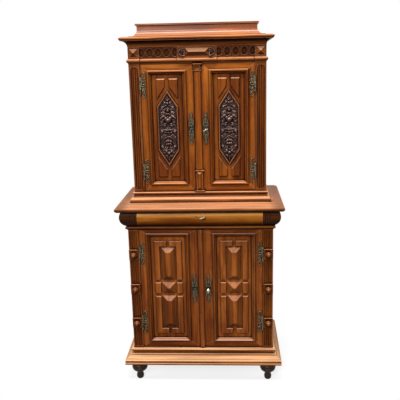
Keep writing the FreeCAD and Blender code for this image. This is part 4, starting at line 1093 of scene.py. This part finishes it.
@dataclass
class FriezeOrnament:
    """Crossing straps on the fret plates and the rims and domes of the cabochons; sizes in millimetres."""

    shop: Workshop
    plate_inner: float = 108.3
    strap_radius: float = 2.2
    strap_reach: float = 25.5
    strap_rise: float = 0.4
    strap_share: float = 0.985
    pitch_share: float = 0.223
    waves: int = 5
    wave_steps: int = 6
    rim: float = 1.5
    rim_depth: float = 2.0
    stone_start: float = 66.3
    stone: Point = (32.0, 21.0)
    dome_shares: Point = (0.44, 0.76)
    dome_rise: float = -4.0
    dome_squash: float = 0.36

    def build(self) -> None:
        """Builds and dresses the straps and the cabochons."""
        finish = wood("strap_walnut", Tone.PANEL, ACROSS, shift=7.6, grime=0.7, wear=0.3)
        carver = Carver(Ground.front_of("frieze_fretwork"))
        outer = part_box("frieze_fretwork")[1].x / MM
        pitch = (outer - self.plate_inner) * self.pitch_share
        for way in (1, -1):
            carver.strand(self.wave((self.plate_inner + outer) / 2, pitch, way), self.strap_rise)
        self.shop.piece("frieze_straps", carver.done(), finish, Slot.WALNUT, "case")
        self.cabochons()

    def wave(self, middle: float, pitch: float, way: int) -> Strand:
        """One strap that swings above and below the ovals.

        Args:
            middle: Middle of the fret plate.
            pitch: Distance of the ovals.
            way: One or minus one for the strap that starts above or below.

        Returns:
            The strap as a strand.
        """
        steps = self.wave_steps * self.waves
        offsets = [(i / steps - 0.5) * self.waves * pitch * self.strap_share for i in range(steps + 1)]
        swing = [way * self.strap_reach * math.cos(math.pi * offset / pitch) for offset in offsets]
        return even(self.strap_radius, *((middle + offset, v) for offset, v in zip(offsets, swing)))

    def cabochons(self) -> None:
        """Rims round the dark domes beside the middle lozenge."""
        ground = Ground.front_of("frieze_blocks", self.rim_depth)
        length, half = self.stone
        along, across = self.dome_shares
        rims = Carver(ground)
        rims.strand(even(self.rim, *arc((self.stone_start, 0), self.stone, -90, 90, 12)), 0.0)
        # The dark rims get a painted highlight on their up-facing part
        pale = wood("cabochon_rim_walnut", Tone.DARK, ACROSS, shift=7.7, fade=1.0, fade_from=-0.2)
        self.shop.piece("cabochon_rims", rims.done(), pale, Slot.WALNUT, "case")
        domes = Carver(ground)
        domes.boss((self.stone_start + length * along, 0), half * across, self.dome_rise, self.dome_squash)
        dark = wood("cabochon_walnut", Tone.DARK, UPRIGHT, shift=7.8, rough=0.5, fade=0.4)
        self.shop.piece("cabochon_domes", domes.done(), dark, Slot.DARK, "case")


@dataclass
class NicheEdges:
    """Bead and row of small lobes along the niches of the upper posts; sizes in millimetres."""

    shop: Workshop
    door_gap: float = 2.5
    half_width: float = 21.0
    end_margin: float = 13.0
    bead: float = 1.4
    bead_rise: float = 0.2
    lobe: float = 3.0
    lobe_pitch: float = 8.0
    lobe_offset: float = 25.2
    lobe_shape: Place = (1.0, 0.5, 1.3)
    lobe_lean: float = 0.5

    def build(self) -> None:
        """Builds and dresses the edges of both niches."""
        low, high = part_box("upper_posts")
        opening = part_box("right_upper_frame")[1].x + self.door_gap * MM
        half = (high.z - low.z) / (2 * MM) - self.end_margin
        carver = Carver(Ground((opening + high.x) / 2, low.y, (low.z + high.z) / 2))
        self.edge(carver, half)
        bm = carver.done()
        made = bmesh.ops.duplicate(bm, geom=bm.verts[:] + bm.edges[:] + bm.faces[:])["geom"]
        twins = [v for v in made if isinstance(v, bmesh.types.BMVert)]
        bmesh.ops.translate(bm, verts=twins, vec=(-opening - high.x, 0, 0))
        finish = wood("niche_edge_walnut", Tone.PANEL, UPRIGHT, shift=5.0, fade=0.6, wear=0.2, flank=0.1)
        self.shop.piece("niche_edges", bm, finish, Slot.PANEL, "case")

    def edge(self, carver: Carver, half: float) -> None:
        """Bead round one niche and the lobes beside it.

        Args:
            carver: Carves on the post's face.
            half: Half the height of the niche.
        """
        straight = half - self.half_width
        arch = [*arc((0, straight), (self.half_width, self.half_width), 90, 0, 5), (self.half_width, 0)]
        for way in (1, -1):
            carver.strand([(u, way * v, self.bead) for u, v in arch], self.bead_rise)
        count = int(2 * straight / self.lobe_pitch)
        for i in range(count + 1):
            level = (i - count / 2) * self.lobe_pitch
            for side in carver.sides:
                place = Matrix.Translation(carver.ground.at(side * self.lobe_offset, level))
                lean = Matrix.Rotation(side * self.lobe_lean, 4, "Y")
                bmesh.ops.create_uvsphere(carver.bm, u_segments=7, v_segments=5, radius=self.lobe * MM,
                                          matrix=place @ Matrix.Diagonal((*self.lobe_shape, 1)) @ lean)


@dataclass
class Plinth:
    """Feet and plinth moulding."""

    shop: Workshop
    moulding_reach: float = 0.051
    foot_height: float = 0.108
    foot_radius: float = 0.047
    foot_steps: int = 48

    def build(self) -> None:
        """Builds and dresses the feet and the plinth."""
        low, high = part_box("plinth_moulding")
        run = MitredRun(high.x - self.moulding_reach, low.y + self.moulding_reach)
        # A paler tone that is partly painted light, with more painted light on the faces that look up
        self.shop.dress("plinth_moulding", Tone.PALE, run, fade=0.7, wear=1.0, reach=0.04)
        self.feet()

    def feet(self) -> None:
        """Turned feet in front and square blocks behind."""
        low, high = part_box("feet")
        r, h = self.foot_radius, self.foot_height
        shares = ((0.0, 0.0), (0.30, 0.0), (0.40, 0.03), (0.46, 0.11), (0.46, 0.20), (0.41, 0.29),
                  (0.39, 0.35), (0.44, 0.41), (0.62, 0.48), (0.87, 0.56), (0.97, 0.65), (1.0, 0.735),
                  (0.955, 0.755), (0.95, 0.785), (1.0, 0.805), (0.97, 0.87), (0.88, 0.94), (0.82, 0.999))
        profile = [(a, max(b, 0.0)) for a, b in rounded([(a * r, b * h) for a, b in shares], 4)]
        bm = bmesh.new()
        for x in (low.x + r, high.x - r):
            turning(bm, profile, Vector((x, low.y + r, 0)), Vector((0, 0, 1)), self.foot_steps)
        finish = wood("foot_walnut", Tone.DARK, UPRIGHT, polish=0.3, rough=0.3, fade=0.2, shelter=0.6)
        self.shop.piece("turned_feet", bm, finish, Slot.DARK, "case", smooth=MOULDED)
        self.shop.skin("feet", finish, FOOT_EDGE, drop=lambda low, high: low.y < 0)


@dataclass
class Stage:
    """Floor, lights, surroundings and camera."""

    place: Place = (0.19066, -3.08428, 1.85224)
    pitch: float = 12.2734
    roll: float = -1.2106
    yaw: float = -2.7452
    lens: float = 47.52
    shift: Point = (-0.0208, -0.0491)
    fill: float = 0.035
    near_white: float = 0.8
    white_range: Point = (0.45, 1.25)
    floor_size: float = 12.0

    def build(self) -> None:
        """Sets the stage."""
        self.surroundings()
        self.floor()
        self.lamp("front", (-1.4, -5.5, 4.3), (1.8, 1.8), 300.0)
        self.lamp("sky", (0.0, -1.5, 4.9), (3.4, 0.6), 210.0)
        self.lamp("back", (0.0, 5.2, 3.2), (2.2, 2.2), 190.0, shines=False)
        for side in (-1, 1):
            self.lamp("side", (side * 4.6, 0.9, 2.6), (1.8, 1.8), 110.0, (0.0, 0.3, 1.0), False)
        self.camera()
        bpy.context.scene.view_settings.view_transform = "Standard"

    def surroundings(self) -> None:
        """White to the eye and in reflections, softer as a light."""
        g = Graph(bpy.data.worlds.new("surroundings"))
        fill = g.node("Background", {"Color": (0.92, 0.96, 1.0, 1.0), "Strength": self.fill})
        white = g.node("Background", {"Color": (1.0, 1.0, 1.0, 1.0), "Strength": 1.0})
        mix = g.node("MixShader", {0: g.seen(), 1: fill.outputs[0], 2: white.outputs[0]})
        g.node("OutputWorld", {0: mix.outputs[0]})
        bpy.context.scene.world = g.owner

    def floor(self) -> None:
        """Pale floor that keeps the shadow near the buffet and fades to white."""
        bm = bmesh.new()
        bmesh.ops.create_grid(bm, x_segments=2, y_segments=2, size=self.floor_size)
        floor = meshed("floor", bm)
        g = Graph(bpy.data.materials.new("pale_floor"))
        x, y, _ = g.coordinates("Object")
        far = (x * x + y * y * 1.4) ** 0.5
        grey = g.node("BsdfDiffuse", {"Color": (0.08, 0.08, 0.08, 1.0)})
        pale = g.node("BsdfDiffuse", {"Color": (0.9, 0.9, 0.9, 1.0)})
        white = g.node("Emission", {"Strength": 1.0})
        share = self.near_white + far.eased(*self.white_range) * (1.0 - self.near_white)
        shown = g.node("MixShader", {0: share, 1: pale.outputs[0], 2: white.outputs[0]})
        mix = g.node("MixShader", {0: g.seen(), 1: grey.outputs[0], 2: shown.outputs[0]})
        g.node("OutputMaterial", {0: mix.outputs[0]})
        floor.data.materials.append(g.owner)

    def lamp(self, name: str, place: Place, size: Point, power: float, target: Place = (0.0, 0.0, 1.0),
             shines: bool = True) -> None:
        """A soft lamp.

        Args:
            name: Its name.
            place: Where it hangs.
            size: Its width and height in metres.
            power: Its power in watts.
            target: What it faces.
            shines: Shows in glossy surfaces.
        """
        data = bpy.data.lights.new(name, "AREA")
        data.shape = "RECTANGLE"
        data.size, data.size_y = size
        data.energy = power
        lamp = placed(name, data)
        lamp.location = place
        lamp.visible_glossy = shines
        lamp.rotation_mode = "QUATERNION"
        lamp.rotation_quaternion = (Vector(target) - Vector(place)).to_track_quat("-Z", "Y")

    def camera(self) -> None:
        """Camera where the photograph was taken."""
        data = bpy.data.cameras.new("camera")
        data.sensor_width = 36.0
        data.lens = self.lens
        data.shift_x, data.shift_y = self.shift
        data.clip_start, data.clip_end = 0.05, 60.0
        roll, pitch, yaw = (
            Matrix.Rotation(math.radians(angle), 3, axis)
            for angle, axis in ((self.roll, "Y"), (self.pitch, "X"), (self.yaw, "Z")))
        turn = roll @ pitch @ yaw
        axes = Matrix((turn[0], turn[2], -turn[1])).transposed()
        camera = placed("camera", data)
        camera.matrix_world = Matrix.Translation(self.place) @ axes.to_4x4()
        bpy.context.scene.camera = camera


@dataclass
class CaseWork:
    """Boards, sides, posts and mouldings of the two cases and of the crown."""

    shop: Workshop
    lower_half: float = 0.4155
    lower_front: float = -0.205
    upper_half: float = 0.380
    upper_front: float = -0.125
    boss_radius: float = 0.019
    boss_depth: float = 0.024
    boss_drop: float = 0.0035
    block_half: float = 0.031
    block_inner: float = 0.360

    def build(self) -> None:
        """Builds and dresses the fixed woodwork."""
        self.lower_case()
        self.upper_case()
        self.crown()
        self.rosettes()
        FriezeOrnament(self.shop).build()
        NicheEdges(self.shop).build()
        self.shop.plain(bare("bare_upright", UPRIGHT), "lower_back_panel", "upper_back_panel")
        self.shop.plain(bare("bare_across", ACROSS), "lower_case_boards", "upper_case_boards", "shelves",
                        "shelf_cleats", "drawer_runners")

    def lower_case(self) -> None:
        """Posts, sides and mouldings up to the table."""
        run = MitredRun(self.lower_half, self.lower_front)
        dress = self.shop.dress
        dress("lower_posts", Tone.CASE, UPRIGHT, FINE_EDGE, TURNED, shift=0.3, flank=0.0, grime=0.85)
        dress("lower_sides", Tone.CASE, UPRIGHT, shift=1.3)
        dress("waist_moulding", Tone.CASE, run, shift=2.1)
        dress("waist_torus", Tone.FRET, run, shift=2.7, reach=0.05, flank=0.0)
        dress("waist_side_boards", Tone.CASE, DEPTH, shift=3.1)
        dress("table_top", Tone.TOP, ACROSS, shift=3.7, fade=0.65, wear=0.9, ends=0.375)

    def upper_case(self) -> None:
        """Base moulding, posts and sides up to the necking band."""
        run = MitredRun(self.upper_half, self.upper_front)
        dress = self.shop.dress
        dress("upper_base_moulding", Tone.TOP, run, shift=4.2, fade=1.0)
        dress("upper_posts", Tone.PANEL, UPRIGHT, FINE_EDGE, TURNED, shift=4.9, flank=0.0, grime=0.85)
        dress("upper_sides", Tone.CASE, UPRIGHT, shift=5.3)
        dress("necking_band", Tone.TOP, run, shift=5.9, fade=0.8, reach=0.045, crease=0.022, crease_full=0.25)

    def crown(self) -> None:
        """Frieze, cornice and hood."""
        run = MitredRun(self.upper_half, self.upper_front)
        dress = self.shop.dress
        self.shop.skin("frieze_boards", wood("frieze_side_walnut", Tone.CASE, run, shift=6.4),
                       front=wood("frieze_ground_walnut", Tone.FRET, run, shift=6.6, fade=0.0))
        # The blocks get painted light on their top facets and painted shade beneath
        dress("frieze_blocks", Tone.PANEL, ACROSS, FINE_EDGE, HIPPED, shift=6.9, fade=1.0, fade_from=-0.1,
              wear=1.0, reach=0.04, shelter=0.6, underside=0.4, flank=0.0)
        dress("frieze_fretwork", Tone.FRET, ACROSS, THIN_EDGE, shift=7.3, grime=0.7)
        dress("cornice_moulding", Tone.CASE, run, shift=7.9, fade=0.7, wear=0.9, shelter=0.95)
        dress("crown_hood", Tone.CASE, run, shift=8.4, polish=0.7, gloss=0.26, fade=0.4)
        dress("crown_top_board", Tone.TOP, ACROSS, shift=8.8)

    def rosettes(self) -> None:
        """Blocks on the lower posts and the turned bosses on them."""
        low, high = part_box("rosettes")
        finish = wood("rosette_walnut", Tone.CASE, UPRIGHT, shift=9.3, fade=0.7, reach=0.05, crease=0.018,
                      crease_full=0.3)
        self.shop.skin("rosettes", finish, drop=lambda a, b: a.y < low.y + self.boss_depth / 2)
        shares = ((0.0, 1.0), (0.12, 0.99), (0.2, 0.93), (0.24, 0.86), (0.42, 0.84), (0.62, 0.72),
                  (0.7, 0.58), (0.72, 0.5), (0.84, 0.54), (0.97, 0.44), (1.0, 0.28), (0.94, 0.0))
        profile = rounded([(a * self.boss_radius, b * self.boss_depth) for a, b in shares], 3)
        bm = bmesh.new()
        offset = (self.block_inner + high.x) / 2
        for x in (-offset, offset):
            for z in (low.z + self.block_half, (low.z + high.z) / 2, high.z - self.block_half):
                start = Vector((x, low.y + self.boss_depth, z - self.boss_drop))
                turning(bm, profile, start, Vector((0, -1, 0)))
        self.shop.piece("rosette_bosses", bm, finish, Slot.WALNUT, "case", smooth=TURNED)


@dataclass
class Leaf:
    """One door leaf with its fittings."""

    shop: Workshop
    side: str
    level: str
    plate_height: float = 0.146
    side_shift: float = 2.3
    level_shift: float = 5.1

    def build(self) -> None:
        """Builds and dresses the leaf."""
        name = f"{self.side}_{self.level}"
        upper, right = self.level == "upper", self.side == "right"
        shift = self.side_shift * right + self.level_shift * (not upper)
        low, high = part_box(name + "_panel")
        middle, half = (low + high) / 2, (high - low) / 2
        grain = MitredFrame((middle.x, middle.z), (half.x, half.z))
        frame_tone, panel_tone = (Tone.CASE, Tone.PANEL) if upper else (Tone.RED, Tone.RED)
        dress = self.shop.dress
        dress(name + "_frame", frame_tone, grain, shift=shift, fade=1.0, fade_from=0.2, reach=0.034,
              crease=0.018, crease_full=0.32)
        dress(name + "_panel", panel_tone, UPRIGHT, smooth=HIPPED, shift=shift + 0.6, wear=1.0,
              fade=0.9 if upper else 0.7, reach=0.036, crease=0.015, crease_full=0.3)
        self.hinges(name)
        Escutcheon(self.shop, name).build()
        if upper:
            carving = dress(name + "_carving", Tone.DARK, UPRIGHT, smooth=HIPPED, shift=shift + 1.1, fade=0.7,
                            wear=0.8, grime=1.0, reach=0.020, polish=0.5, rough=0.34)
            # The bead gets painted light on its up-facing part
            bead = wood(name + "_bead_walnut", Tone.CASE, UPRIGHT, shift=shift + 1.4, fade=0.8,
                        fade_from=-0.3)
            LozengeCarving(self.shop, self.side, carving, bead).build()
        if right:
            dress(name + "_batten", frame_tone, UPRIGHT, smooth=HIPPED, shift=shift + 1.7, fade=1.0, wear=1.0,
                  crease=0.008)
            self.shop.plain(LOCK_IRON, name + "_lock")

    def hinges(self, name: str) -> None:
        """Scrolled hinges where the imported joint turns.

        Args:
            name: Side and level of the leaf.
        """
        low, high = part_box(name + "_hinges")
        frame_low, frame_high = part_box(name + "_frame")
        side, edge = (-1.0, frame_low.x) if self.side == "left" else (1.0, frame_high.x)
        joints = frame["record"]["behaviour"]["joints"]
        x, y, _ = next(joint["pos_m"] for joint in joints if joint["name"] == name + "_door_hinge")
        half = self.plate_height / 2
        ScrollHinges(self.shop, name, side, (x, y), high.y, edge, (low.z + half, high.z - half)).build()


@dataclass
class DrawerAndKeys:
    """Drawer with its lock, the keys and the bolts."""

    shop: Workshop
    blind_keyhole: Place = (-0.018, -0.2448, 1.0245)
    knob_rise: float = -9.0

    def build(self) -> None:
        """Builds and dresses the drawer, keys and bolts."""
        # Painted light on the upper, up-facing half of the drawer front
        self.shop.dress("drawer_front", Tone.HONEY, ACROSS, shift=1.9, grime=0.6, crease=0.006, fade=1.0,
                        fade_from=-0.2, wear=1.0)
        self.shop.plain(bare("drawer_bare", DEPTH), "drawer_box")
        self.shop.plain(LOCK_IRON, "drawer_lock", "upper_lock_bolt", "lower_lock_bolt", "drawer_lock_bolt")
        for level in ("upper", "lower", "drawer"):
            self.shop.skin(level + "_key", KEY_METAL, FINE_EDGE)
        self.shop.skin("hinge_post_leaves", HINGE_BRONZE, 0.0)
        self.keyhole()
        self.knobs()

    def knobs(self) -> None:
        """Rounded knobs on both sides of the lower key's bow."""
        carver = Carver(Ground.front_of("lower_key"))
        for place, radius in (((7.0, 3.0), 4.2), ((6.0, -6.0), 3.4)):
            carver.boss(place, radius, self.knob_rise)
        self.shop.piece("lower_key_knobs", carver.done(), KEY_METAL, Slot.KEY, "lower_key")

    def keyhole(self) -> None:
        """Blind keyhole beside the drawer's key."""
        profile = ((0.0, -0.0004), (0.0016, -0.0004), (0.002, 0.0006), (0.0034, 0.0009), (0.0042, 0.0004),
                   (0.0042, -0.001))
        bm = bmesh.new()
        turning(bm, profile, Vector(self.blind_keyhole), Vector((0, -1, 0)), 20)
        self.shop.piece("drawer_blind_keyhole", bm, LOCK_IRON, Slot.IRON, "drawer", smooth=TURNED)


def main() -> None:
    """Builds the stage and every part of the buffet."""
    logging.basicConfig(level=logging.INFO, format="%(message)s")
    Stage().build()
    shop = Workshop()
    Plinth(shop).build()
    CaseWork(shop).build()
    for side in ("left", "right"):
        for level in ("upper", "lower"):
            Leaf(shop, side, level).build()
    DrawerAndKeys(shop).build()


if __name__ == "__main__":
    main()
